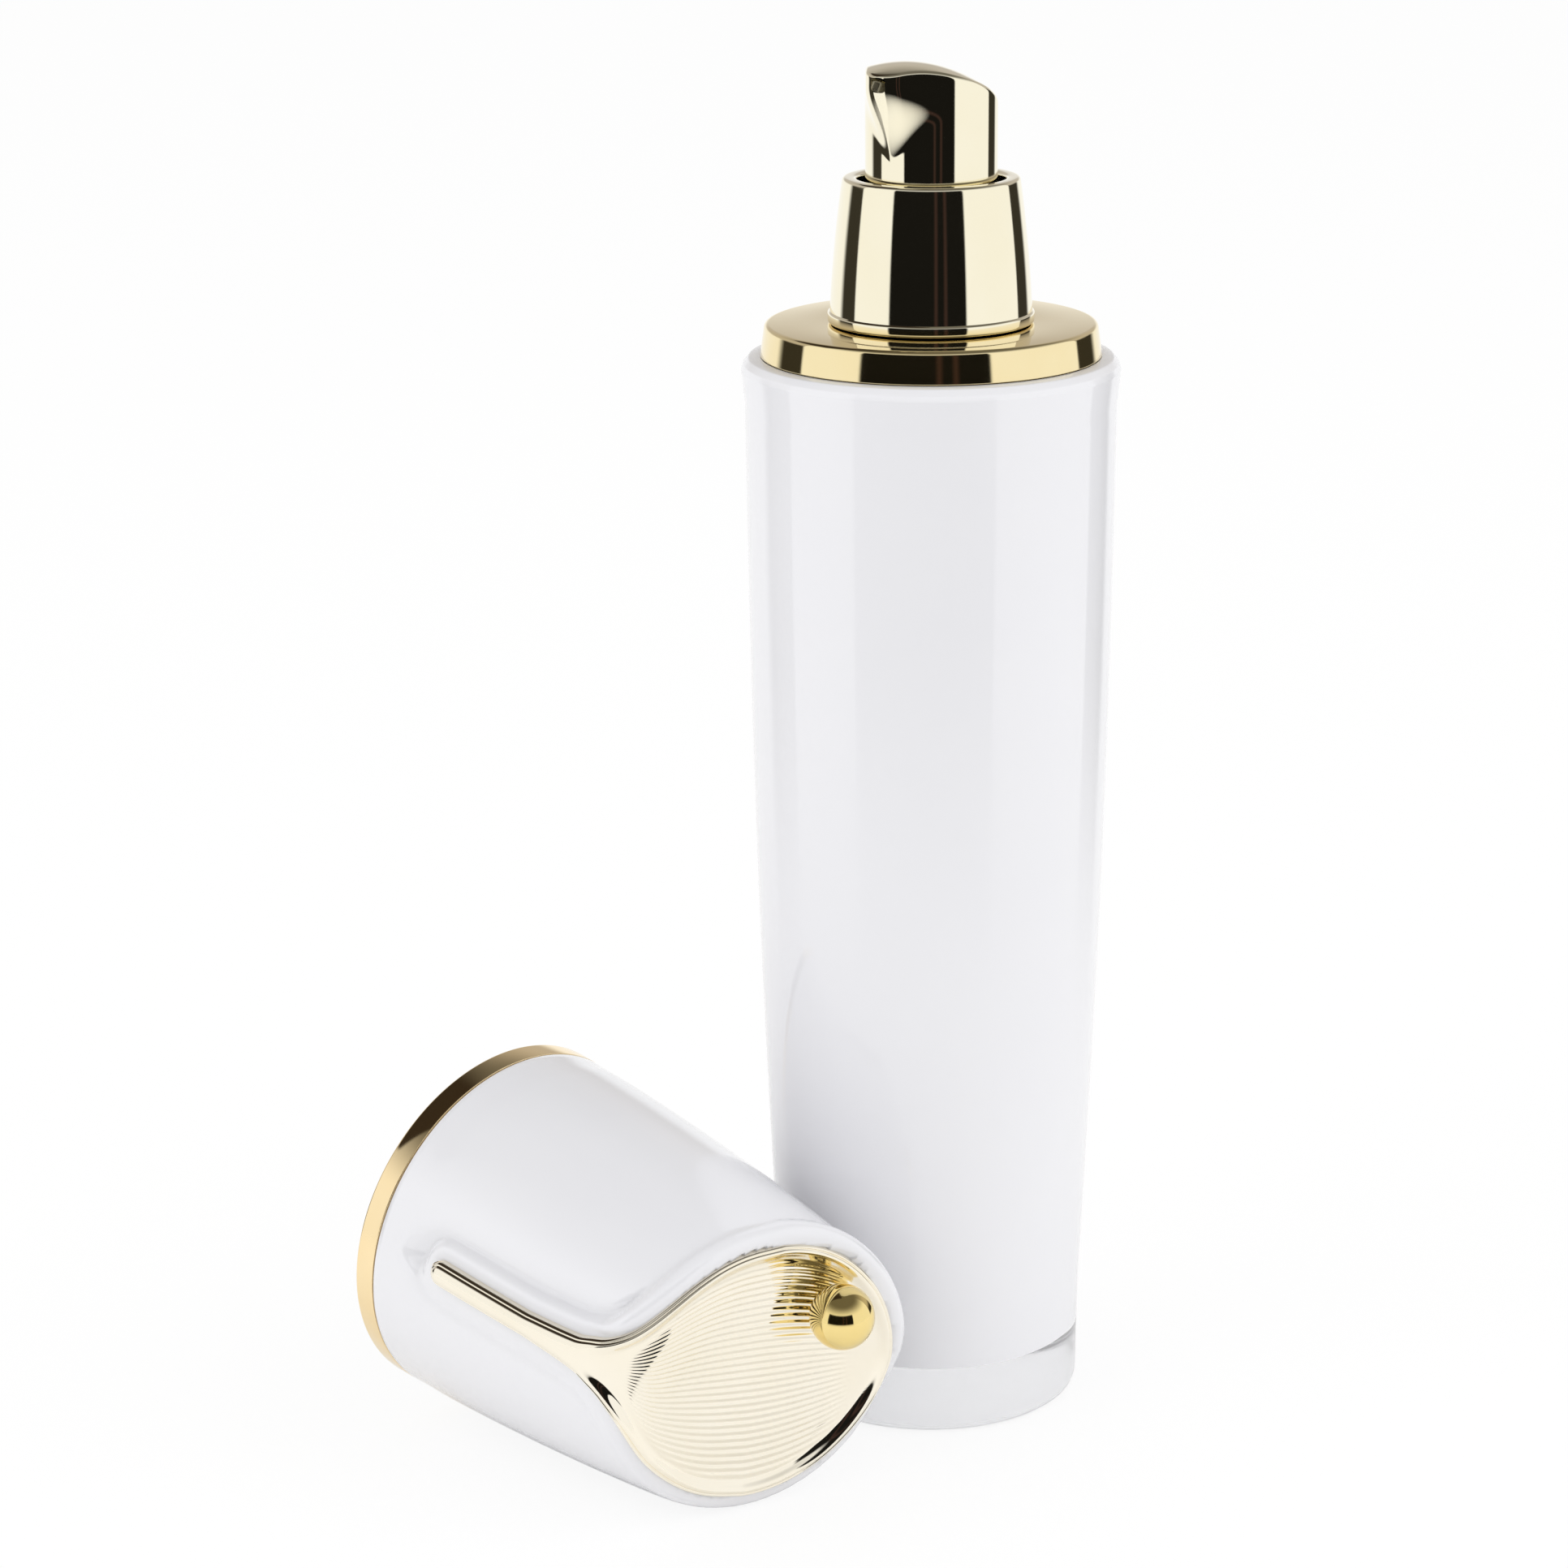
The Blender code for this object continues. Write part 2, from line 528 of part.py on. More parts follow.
def make_housing():
    seat = inlet_seat_bottom()
    socket_top = seat - BALL_SEAT_HEIGHT
    profile = [(FLANGE_RADIUS, FLANGE_BOTTOM), (FLANGE_RADIUS, FLANGE_TOP), (CHAMBER_RADIUS, FLANGE_TOP),
               (CHAMBER_RADIUS, CHAMBER_FLOOR), (BALL_BORE, CHAMBER_FLOOR),
               (BALL_BORE, seat + BALL_SEAT_HEIGHT), (CHANNEL_RADIUS, seat),
               (CHANNEL_RADIUS, socket_top), (SOCKET_BORE, socket_top),
               (SOCKET_BORE, socket_top - SOCKET_LENGTH), (SOCKET_RADIUS, socket_top - SOCKET_LENGTH),
               (SOCKET_RADIUS, CHAMBER_FLOOR - HOUSING_WALL * 3),
               (HOUSING_RADIUS, CHAMBER_FLOOR - HOUSING_WALL), (HOUSING_RADIUS, FLANGE_BOTTOM)]
    finish = white("white_housing")
    housing = turned("pump_housing", profile, SMALL_SEGMENTS, finish)
    for index in range(BALL_TABS):
        bm = bmesh.new()
        bmesh.ops.create_cube(bm, size=1)
        reach = BALL_BORE - BALL_TAB_REACH + HOUSING_WALL
        size = (reach, BALL_TAB_WIDTH, BALL_TAB_THICKNESS)
        bmesh.ops.scale(bm, vec=size, verts=bm.verts)
        middle = BALL_TAB_REACH + reach / 2
        bmesh.ops.translate(bm, vec=(middle, 0, CHAMBER_FLOOR - BALL_TAB_THICKNESS), verts=bm.verts)
        turn = Matrix.Rotation(math.tau * index / BALL_TABS, 3, "Z")
        bmesh.ops.rotate(bm, matrix=turn, verts=bm.verts)
        name = f"ball_tab_guide_{index}"
        boolean(housing, add_object(name, finish_mesh(name, bm), finish), "UNION")


def make_collar():
    plug = CHAMBER_RADIUS - SEAT_GAP
    flange = FLANGE_TOP + SEAT_GAP
    profile = [(STEM_GUIDE, COLLAR_BOTTOM), (plug, COLLAR_BOTTOM), (plug, flange),
               (COLLAR_FLANGE_RADIUS, flange), (COLLAR_FLANGE_RADIUS, flange + COLLAR_FLANGE),
               (STEM_GUIDE, flange + COLLAR_FLANGE)]
    turned("lock_collar", profile, SMALL_SEGMENTS, white("white_collar"))


def make_dip_tube():
    top = inlet_seat_bottom() - BALL_SEAT_HEIGHT - SEAT_GAP
    bottom = BASE_THICKNESS + SEAT_GAP + INNER_WALL + DIP_TUBE_FLOOR_GAP
    bore = DIP_TUBE_RADIUS - DIP_TUBE_WALL
    profile = [(bore, bottom), (DIP_TUBE_RADIUS, bottom), (DIP_TUBE_RADIUS, top), (bore, top)]
    turned("dip_tube", profile, SMALL_SEGMENTS, white("natural_tube"))


def make_ball(name, radius, centre_height, finish):
    profile = [(0, -radius)] + arc_points((0, 0), radius, -65, 65, 5) + [(0, radius)]
    ball = turned(name, profile, BALL_SEGMENTS, finish)
    ball.location = (0, 0, centre_height)


def make_spring():
    """Return spring: one unbroken wound wire, drawn as a tube along a helix."""
    bottom = CHAMBER_FLOOR + SEAT_GAP + SPRING_WIRE_RADIUS
    top = SEAT_FOOT_BOTTOM - SEAT_GAP - SPRING_WIRE_RADIUS
    count = SPRING_CURLS * SPRING_POINTS_PER_CURL
    points = []
    for i in range(count + 1):
        angle = math.tau * i / SPRING_POINTS_PER_CURL
        height = bottom + (top - bottom) * i / count
        points.append(Vector((SPRING_RADIUS * math.cos(angle), SPRING_RADIUS * math.sin(angle), height)))
    half_curl = SPRING_POINTS_PER_CURL // 2
    gap = min((a - b).length for i, a in enumerate(points) for b in points[i + half_curl:])
    print("return spring, least gap to itself, mm:", round((gap - 2 * SPRING_WIRE_RADIUS) / MM, 2))
    curve = bpy.data.curves.new("return_spring", "CURVE")
    curve.dimensions = "3D"
    spline = curve.splines.new("POLY")
    spline.points.add(count)
    for place, point in zip(spline.points, points):
        place.co = (*point, 1)
    curve.bevel_depth = SPRING_WIRE_RADIUS
    curve.bevel_resolution = 1
    curve.use_fill_caps = True
    add_object("return_spring", curve, material("spring_steel", (0.6, 0.6, 0.62), 0.3, 1.0))


def make_piston():
    outer = CHAMBER_RADIUS - SEAT_GAP
    waist = outer - PISTON_WAIST
    profile = [(STEM_GUIDE, PISTON_BOTTOM), (outer, PISTON_BOTTOM),
               (outer, PISTON_BOTTOM + PISTON_LIP_LENGTH / 2), (waist, PISTON_BOTTOM + PISTON_LIP_LENGTH),
               (waist, PISTON_TOP - PISTON_LIP_LENGTH), (outer, PISTON_TOP - PISTON_LIP_LENGTH / 2),
               (outer, PISTON_TOP), (STEM_GUIDE, PISTON_TOP)]
    turned("piston", profile, SMALL_SEGMENTS, white("natural_piston"))


def make_piston_seat():
    spigot = STEM_BORE_RADIUS - SEAT_GAP
    top = SEAT_FOOT_TOP + SEAT_GAP + SEAT_SPIGOT_LENGTH
    profile = [(SEAT_BORE_RADIUS, SEAT_FOOT_BOTTOM), (SEAT_FOOT_RADIUS - SEAT_FOOT_TAPER, SEAT_FOOT_BOTTOM),
               (SEAT_FOOT_RADIUS, SEAT_FOOT_BOTTOM + SEAT_FOOT_TAPER), (SEAT_FOOT_RADIUS, SEAT_FOOT_TOP),
               (spigot, SEAT_FOOT_TOP), (spigot, top), (SEAT_BORE_RADIUS, top)]
    turned("piston_seat", profile, SMALL_SEGMENTS, white("natural_seat"))


def outlet_seat_bottom():
    """Bottom of the outlet ball's seat, so that the ball's lift ends under the insert."""
    ceiling = STEM_TOP + SEAT_GAP
    centre = ceiling - SEAT_GAP - OUTLET_BALL_LIFT - OUTLET_BALL_RADIUS
    return centre - ball_rest(STEM_BORE_RADIUS, STEM_BALL_BORE, 0, OUTLET_BALL_RADIUS)


def make_stem():
    seat = outlet_seat_bottom()
    bottom = SEAT_FOOT_TOP + SEAT_GAP
    profile = [(STEM_BORE_RADIUS, bottom), (STEM_RADIUS, bottom), (STEM_RADIUS, STEM_TOP),
               (STEM_BALL_BORE, STEM_TOP), (STEM_BALL_BORE, seat + BALL_SEAT_HEIGHT),
               (STEM_BORE_RADIUS, seat)]
    turned("stem", profile, SMALL_SEGMENTS, white("white_stem"))


def spout_direction():
    azimuth = math.radians(SPOUT_AZIMUTH_DEG)
    return Vector((math.cos(azimuth), math.sin(azimuth), 0))


def crown_height(radius, off_spout_deg):
    """Height of the head's domed crown at a radius and an angle off the spout."""
    along = radius * math.cos(math.radians(off_spout_deg)) - HEAD_CROWN_FORWARD
    across = radius * math.sin(math.radians(off_spout_deg))
    fall = HEAD_CROWN_RADIUS - math.sqrt(HEAD_CROWN_RADIUS ** 2 - along ** 2)
    return HEAD_TOP - fall - across ** 2 / (2 * HEAD_CROSS_RADIUS)


def head_radius(off_spout_deg, height):
    """Radius of the head's side: a cylinder that swells into the short spout."""
    spread = (abs(off_spout_deg) - SPOUT_TIP_HALF_DEG) / (SPOUT_ROOT_HALF_DEG - SPOUT_TIP_HALF_DEG)
    rise = (height - HEAD_TOP + SPOUT_UNDERSIDE_DROP) / SPOUT_UNDERSIDE_RISE
    return HEAD_RADIUS + SPOUT_REACH * (1 - smooth_step(spread)) * smooth_step(rise)


def head_azimuths():
    """Angles off the spout's middle, close together on the spout."""
    spout = [SPOUT_ROOT_HALF_DEG * (2 * i / HEAD_SPOUT_STEPS - 1) for i in range(HEAD_SPOUT_STEPS)]
    back_span = 360 - 2 * SPOUT_ROOT_HALF_DEG
    back = [SPOUT_ROOT_HALF_DEG + back_span * i / HEAD_BACK_STEPS for i in range(HEAD_BACK_STEPS)]
    return spout + back


def head_column(off_spout_deg):
    """Points of the head's surface from its foot to the crown at one azimuth."""
    wrapped = (off_spout_deg + 180) % 360 - 180
    edge = head_radius(wrapped, HEAD_TOP)
    side_top = crown_height(edge, wrapped) - HEAD_EDGE_ROUND
    heights = [HEAD_BOTTOM + (side_top - HEAD_BOTTOM) * share for share in HEAD_SIDE_SHARES]
    column = [(head_radius(wrapped, height), height) for height in heights]
    for angle in (45, 90):
        inset = HEAD_EDGE_ROUND * (1 - math.cos(math.radians(angle)))
        drop = HEAD_EDGE_ROUND * (1 - math.sin(math.radians(angle)))
        column.append((edge - inset, crown_height(edge - inset, wrapped) - drop))
    rim = column[-1][0]
    return column + [(rim * share, crown_height(rim * share, wrapped)) for share in HEAD_TOP_SHARES]


def make_head_shell():
    direction = math.radians(SPOUT_AZIMUTH_DEG)
    bm = bmesh.new()
    columns = []
    for off_spout in head_azimuths():
        angle = direction + math.radians(off_spout)
        columns.append([bm.verts.new((r * math.cos(angle), r * math.sin(angle), z))
                        for r, z in head_column(off_spout)])
    foot = bm.verts.new((0, 0, HEAD_BOTTOM))
    crown = bm.verts.new((0, 0, crown_height(0, 0)))
    for left, right in zip(columns, columns[1:] + columns[:1]):
        for i in range(len(left) - 1):
            bm.faces.new((left[i], right[i], right[i + 1], left[i + 1]))
        bm.faces.new((left[0], foot, right[0]))
        bm.faces.new((left[-1], right[-1], crown))
    shell = add_object("actuator_shell", finish_mesh("actuator_shell", bm), gold("gold_head"))
    cavity_top = HEAD_BOTTOM + HEAD_CAVITY_HEIGHT
    wire = shell.data.materials[0]
    start, end = channel_line()
    beyond = end + (end - start).normalized() * OVERRUN
    cutters = [
        cylinder_between("head_cavity_guide", (0, 0, HEAD_BOTTOM - OVERRUN), (0, 0, cavity_top),
                         HEAD_CAVITY, MEDIUM_SEGMENTS, wire),
        cylinder_between("head_tower_guide", (0, 0, cavity_top - OVERRUN), (0, 0, tower_top() + SEAT_GAP),
                         TOWER_RADIUS + SEAT_GAP, SMALL_SEGMENTS, wire),
        cylinder_between("head_spout_guide", start, beyond, ARM_RADIUS + SEAT_GAP, SMALL_SEGMENTS, wire)]
    for cutter in cutters:
        boolean(shell, cutter, "DIFFERENCE")


def channel_line():
    """Start on the axis and end at the spout's mouth of the sloping channel."""
    tip = HEAD_RADIUS + SPOUT_REACH
    end = spout_direction() * tip
    end.z = HEAD_TOP - SPOUT_HOLE_DROP
    start = Vector((0, 0, end.z - tip * math.tan(math.radians(SPOUT_SLOPE_DEG))))
    return start, end


def riser_top():
    return channel_line()[0].z + ARM_BORE_RADIUS


def tower_top():
    return riser_top() + TOWER_ROOF


def make_actuator_insert():
    finish = white("white_insert")
    socket = STEM_RADIUS + SEAT_GAP
    ceiling = STEM_TOP + SEAT_GAP
    disc_top = HEAD_BOTTOM + HEAD_CAVITY_HEIGHT - SEAT_GAP
    start, end = channel_line()
    disc = HEAD_CAVITY - SEAT_GAP
    profile = [(0, INSERT_BOTTOM), (disc, INSERT_BOTTOM), (disc, disc_top), (TOWER_RADIUS, disc_top),
               (TOWER_RADIUS, tower_top()), (0, tower_top())]
    insert = turned("actuator_insert", profile, MEDIUM_SEGMENTS, finish)
    along = (end - start).normalized()
    mouth = end - along * SPOUT_RECESS
    arm = cylinder_between("insert_arm_guide", start, mouth, ARM_RADIUS, SMALL_SEGMENTS, finish)
    boolean(insert, arm, "UNION")
    below = (0, 0, INSERT_BOTTOM - OVERRUN)
    cuts = [cylinder_between("insert_socket_guide", below, (0, 0, ceiling), socket, SMALL_SEGMENTS, finish),
            cylinder_between("insert_riser_guide", below, (0, 0, riser_top()), RISER_RADIUS,
                             SMALL_SEGMENTS, finish),
            cylinder_between("insert_channel_guide", start, end + along * OVERRUN, ARM_BORE_RADIUS,
                             SMALL_SEGMENTS, finish)]
    for cut in cuts:
        boolean(insert, cut, "DIFFERENCE")


def cap_radius(height):
    """Outer radius of the cap's side at a height above its mouth."""
    share = height / CAP_LENGTH
    straight = CAP_MOUTH_RADIUS + (CAP_END_RADIUS - CAP_MOUTH_RADIUS) * share
    return straight + CAP_BELLY * 4 * share * (1 - share)


def cavity_profile(inset, start, top):
    """Side and domed top of a hollow in the cap, from the mouth side to the axis."""
    steps = 3
    side = [start + (CAP_CAVITY_SIDE_HEIGHT - start) * i / steps for i in range(steps + 1)]
    points = [(cap_radius(z) - inset, z) for z in side]
    rim = points[-1][0]
    for radius_share, height_share in zip(CAP_CAVITY_RADIUS_SHARES, CAP_CAVITY_HEIGHT_SHARES):
        height = CAP_CAVITY_SIDE_HEIGHT + (top - CAP_CAVITY_SIDE_HEIGHT) * height_share
        points.append((rim * radius_share, height))
    return points + [(0, top)]


def face_line(across):
    """Height of the slanted face's border plane at a distance from the axis."""
    return FACE_HEIGHT - math.tan(math.radians(FACE_TILT_DEG)) * across


def face_curve(grow=0):
    """Curve (across, height) of the ornament's top in the cap's middle plane.

    It follows the cap's side as the tail, bends, and crosses the slanted face.
    Both of its ends are lengthened by a gap.
    """
    corner_height = FACE_HEIGHT
    for _ in range(30):
        corner_height = face_line(cap_radius(corner_height) + TAIL_PROUD)
    corner = (cap_radius(corner_height) + TAIL_PROUD, corner_height)
    tail_end = corner_height - BEND_REACH
    tail = [tail_end - (tail_end - TAIL_START + grow) * i / TAIL_STEPS for i in range(TAIL_STEPS, -1, -1)]
    curve = [(cap_radius(z) + TAIL_PROUD, z) for z in tail]
    face_start = corner[0] - BEND_REACH * math.cos(math.radians(FACE_TILT_DEG))
    start, end = curve[-1], (face_start, face_line(face_start))
    for i in range(1, BEND_STEPS):
        t = i / BEND_STEPS
        weights = ((1 - t) ** 2, 2 * t * (1 - t), t * t)
        curve.append(tuple(sum(w * p[k] for w, p in zip(weights, (start, corner, end))) for k in (0, 1)))
    far = BOWL_FAR_INSET - grow - cap_radius(face_line(-CAP_END_RADIUS))
    for share in FACE_END_SHARES:
        across = face_start + (far - face_start) * share
        curve.append((across, face_line(across)))
    return curve


def inward(curve, index):
    """Unit vector from the curve into the cap's material."""
    low, high = curve[max(index - 1, 0)], curve[min(index + 1, len(curve) - 1)]
    run = (high[0] - low[0], high[1] - low[1])
    length = math.hypot(*run)
    return (-run[1] / length, run[0] / length)


def offset_point(curve, index, depth):
    normal = inward(curve, index)
    point = curve[index]
    return (point[0] + normal[0] * depth, point[1] + normal[1] * depth)


def curve_runs(curve):
    """Distance along the curve of each of its points, from the neck of the spoon."""
    runs = [0]
    for first, second in zip(curve, curve[1:]):
        runs.append(runs[-1] + math.dist(first, second))
    return [run - runs[TAIL_STEPS] for run in runs]


def spoon_half_width(run, end):
    """Half of the ornament's width at a distance along its curve from the neck."""
    if run > BOWL_WIDEST_RUN:
        beyond = (run - BOWL_WIDEST_RUN) / (end - BOWL_WIDEST_RUN)
        return BOWL_HALF_WIDTH * max(1 - beyond * beyond, 0) ** BOWL_END_POWER_SHARE
    share = max(run / BOWL_WIDEST_RUN, SPOON_RUN_SHARES[0])
    widening = smooth_table(SPOON_RUN_SHARES, SPOON_WIDTH_SHARES, share)
    return TAIL_HALF_WIDTH + (BOWL_HALF_WIDTH - TAIL_HALF_WIDTH) * widening


def spoon_lean(run, tip):
    """Sideways place of the spoon's middle: the tail leans, the bowl is centred."""
    tail_lean = NECK_LEAN + (TIP_LEAN - NECK_LEAN) * max(run / tip, 0)
    return -tail_lean * (1 - smooth_step(run / NECK_LEAN_RUN))


def spoon_stations(curve, grow):
    """Curve index, middle and half-width of each station of the ornament, grown by a gap."""
    runs = curve_runs(curve)
    return [(index, spoon_lean(run, runs[0]), spoon_half_width(run, runs[-1] + grow) + grow)
            for index, run in enumerate(runs)]


def lip_stations(curve):
    """Stations of the raised lip round the bowl, within the cut-back side of the cap."""
    runs = curve_runs(curve)
    stations = []
    for index in range(TAIL_STEPS, len(curve)):
        foot = offset_point(curve, index, FACE_DROP)
        room = math.sqrt(cap_radius(foot[1]) ** 2 - foot[0] ** 2) - LIP_SIDE_INSET
        half = spoon_half_width(runs[index], runs[-1] + LIP_WIDTH) + LIP_WIDTH
        stations.append((index, spoon_lean(runs[index], runs[0]), min(half, room)))
    return stations


def lip_depth(run):
    """Depth of the lip's top under the curve, rising out of the cut-back side."""
    start = FACE_DROP + SEAT_GAP / 3
    return start - (start - LIP_BELOW) * smooth_step(run / LIP_RAMP)


def dish_depth(curve, index, across, half):
    """Depth of the hollowed bowl under the plate's border."""
    to_end = math.dist(curve[index], curve[-1])
    edge = min(half - abs(across), to_end) - DISH_BORDER
    return DISH_DEPTH * smooth_step(edge / DISH_RUN)


def plate_thickness(index):
    """Thickness of the ornament, which grows from the tail to the bowl."""
    bowl_share = smooth_step((index - TAIL_STEPS) / BEND_STEPS)
    return PLATE_TAIL_THICKNESS + (PLATE_THICKNESS - PLATE_TAIL_THICKNESS) * bowl_share


def lofted(name, curve, stations, top_depth, bottom_depth, finish, parent):
    """A closed body along the ornament's curve, between two depths under the curve."""
    bm = bmesh.new()
    top_rows, low_rows = [], []
    for index, lean, half in stations:
        across = [half * share for share in PLATE_ROW_SHARES]
        tops = [offset_point(curve, index, top_depth(index, y, half)) for y in across]
        low = offset_point(curve, index, bottom_depth(index))
        top_rows.append([bm.verts.new((x, y + lean, z)) for y, (x, z) in zip(across, tops)])
        low_rows.append([bm.verts.new((low[0], y + lean, low[1])) for y in across])
    for rows in (top_rows, low_rows):
        for first, second in zip(rows, rows[1:]):
            for i in range(len(first) - 1):
                bm.faces.new((first[i], first[i + 1], second[i + 1], second[i]))
    for i in range(len(stations) - 1):
        for side in (0, -1):
            bm.faces.new((top_rows[i][side], top_rows[i + 1][side], low_rows[i + 1][side], low_rows[i][side]))
    for end in (0, -1):
        for i in range(len(PLATE_ROW_SHARES) - 1):
            bm.faces.new((top_rows[end][i], top_rows[end][i + 1], low_rows[end][i + 1], low_rows[end][i]))
    return add_object(name, finish_mesh(name, bm), finish, parent)


def face_cutter(finish, parent):
    """Everything outside the face, as a prism across the cap."""
    curve = face_curve()
    far = CAP_MOUTH_RADIUS + OVERRUN
    run_in = TAIL_START - FACE_RUN_OUT
    outline = [(cap_radius(run_in) + SEAT_GAP, run_in)]
    outline += [offset_point(curve, i, FACE_DROP) for i in range(1, len(curve))]
    slope = math.tan(math.radians(FACE_TILT_DEG))
    last = outline[-1]
    outline.append((-far, last[1] + (last[0] + far) * slope))
    outline += [(-far, CAP_LENGTH + far), (far, CAP_LENGTH + far), (far, run_in)]
    bm = bmesh.new()
    loop = [bm.verts.new((across, -far, height)) for across, height in outline]
    face = bm.faces.new(loop)
    moved = bmesh.ops.extrude_face_region(bm, geom=[face])
    verts = [item for item in moved["geom"] if isinstance(item, bmesh.types.BMVert)]
    bmesh.ops.translate(bm, vec=(0, 2 * far, 0), verts=verts)
    return add_object("cap_face_guide", finish_mesh("cap_face_guide", bm), finish, parent)


def make_cap_outer(parent):
    start = CAP_RING_HEIGHT + SEAT_GAP
    side = [start + (CAP_LENGTH - start) * i / CAP_SIDE_STEPS for i in range(CAP_SIDE_STEPS + 1)]
    outer = [(cap_radius(z), z) for z in side] + [(0, CAP_LENGTH)]
    cavity = cavity_profile(CAP_WALL, start, CAP_CAVITY_TOP)
    finish = white("white_cap")
    cap = turned("cap_outer", list(reversed(outer)) + cavity, LARGE_SEGMENTS, finish, parent)
    boolean(cap, face_cutter(finish, parent), "DIFFERENCE")
    reach = face_curve(BOWL_FAR_INSET - LIP_SIDE_INSET)
    runs = curve_runs(reach)
    lip = lofted("cap_lip_guide", reach, lip_stations(reach), lambda index, y, half: lip_depth(runs[index]),
                 lambda index: FACE_DROP + SEAT_GAP, finish, parent)
    boolean(cap, lip, "UNION")
    curve = face_curve(POCKET_GAP)
    pocket = lofted("cap_pocket_guide", curve, spoon_stations(curve, POCKET_GAP),
                    lambda index, y, half: -OVERRUN, lambda index: plate_thickness(index) + SEAT_GAP,
                    finish, parent)
    boolean(cap, pocket, "DIFFERENCE")


def make_cap_liner(parent):
    outer = cavity_profile(CAP_WALL + SEAT_GAP, LINER_START, CAP_CAVITY_TOP - SEAT_GAP)
    inner = cavity_profile(CAP_WALL + SEAT_GAP + LINER_WALL, LINER_START,
                           CAP_CAVITY_TOP - SEAT_GAP - LINER_WALL)
    turned("cap_liner", list(reversed(outer)) + inner, LARGE_SEGMENTS, white("white_liner"), parent)


def make_cap_ring(parent):
    inner = CAP_MOUTH_RADIUS - CAP_RING_WALL
    profile = [(inner, 0), (cap_radius(0), 0), (cap_radius(CAP_RING_HEIGHT), CAP_RING_HEIGHT),
               (inner, CAP_RING_HEIGHT)]
    turned("cap_rim_ring", profile, LARGE_SEGMENTS, gold("gold_rim"), parent)


def bead_frame():
    """Matrix that puts the bead's local frame on the face, Z along its normal."""
    tilt = math.radians(FACE_TILT_DEG)
    place = Vector((-BEAD_BEHIND, -BEAD_SIDE, face_line(-BEAD_BEHIND)))
    return Matrix.Translation(place) @ Matrix.Rotation(tilt, 4, "Y")


def make_plate(parent):
    finish = gold("gold_plate")
    curve = face_curve()
    plate = lofted("ornament_plate", curve, spoon_stations(curve, 0),
                   lambda index, y, half: dish_depth(curve, index, y, half), plate_thickness,
                   finish, parent)
    hole = BEAD_PIN_RADIUS + SEAT_GAP
    cutter = cylinder_between("pin_hole_guide", (0, 0, -PLATE_THICKNESS - OVERRUN), (0, 0, OVERRUN),
                              hole, SMALL_SEGMENTS, finish)
    cutter.data.transform(bead_frame())
    cutter.parent = parent
    boolean(plate, cutter, "DIFFERENCE")


def make_bead(parent):
    """A ball with a flat seat and a pin that goes through the plate."""
    drop = BEAD_CENTRE_ABOVE - BEAD_BASE_ABOVE
    start_deg = -math.degrees(math.asin(drop / BEAD_RADIUS))
    arc = arc_points((0, BEAD_CENTRE_ABOVE), BEAD_RADIUS, start_deg, 80, BEAD_RINGS)
    pin_foot = -PLATE_THICKNESS
    profile = [(0, pin_foot), (BEAD_PIN_RADIUS, pin_foot), (BEAD_PIN_RADIUS, BEAD_BASE_ABOVE)]
    profile += arc + [(0, BEAD_CENTRE_ABOVE + BEAD_RADIUS)]
    bead = turned("ornament_bead", profile, SMALL_SEGMENTS, gold("gold_bead"), parent)
    bead.data.transform(bead_frame())


def lay_cap_down():
    """The empty that carries the cap, turned so that the cap rests on its side."""
    yaw, tilt = math.radians(CAP_YAW_DEG), math.radians(CAP_TILT_DEG)
    turn = Matrix.Rotation(yaw, 4, "Z") @ Matrix.Rotation(math.pi / 2 + tilt, 4, "Y")
    turn = turn @ Matrix.Rotation(math.radians(CAP_ROLL_DEG), 4, "Z")
    steps = 60
    heights = [CAP_LENGTH * i / steps for i in range(steps + 1)]
    lift = max(z * math.sin(tilt) + cap_radius(z) * math.cos(tilt) for z in heights)
    empty = bpy.data.objects.new("cap_frame", None)
    bpy.context.scene.collection.objects.link(empty)
    empty.matrix_world = Matrix.Translation((CAP_MOUTH_X, CAP_MOUTH_Y, lift)) @ turn
    return empty


def main():
    for old in list(bpy.data.objects):
        bpy.data.objects.remove(old)
    make_outer_bottle()
    make_inner_bottle()
    make_shoulder_ring()
    make_screw_closure()
    make_closure_sleeve()
    make_gasket()
    make_housing()
    make_collar()
    make_dip_tube()
    steel = material("ball_steel", (0.7, 0.7, 0.72), 0.2, 1.0)
    inlet = inlet_seat_bottom() + ball_rest(CHANNEL_RADIUS, BALL_BORE, 0, INLET_BALL_RADIUS)
    outlet = outlet_seat_bottom() + ball_rest(STEM_BORE_RADIUS, STEM_BALL_BORE, 0, OUTLET_BALL_RADIUS)
    make_ball("inlet_ball", INLET_BALL_RADIUS, inlet, steel)
    make_ball("outlet_ball", OUTLET_BALL_RADIUS, outlet, steel)
    make_spring()
    make_piston()
    make_piston_seat()
    make_stem()
    make_head_shell()
    make_actuator_insert()
    frame = lay_cap_down()
    make_cap_outer(frame)
    make_cap_liner(frame)
    make_cap_ring(frame)
    make_plate(frame)
    make_bead(frame)


main()
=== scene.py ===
# %% [markdown]
# A cosmetic pump bottle with its cap lying beside it, dressed for a picture.
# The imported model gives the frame: every node is a solid of the right size in its
# right place, but its round walls have few sides. This lesson turns the pieces
# that show with fine walls, sculpts the cap, and gives each piece the finish of
# the real material. Pieces that nobody sees keep their solids.

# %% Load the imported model
import math

import bmesh
import bpy
import numpy as np
from mathutils import Matrix, Vector


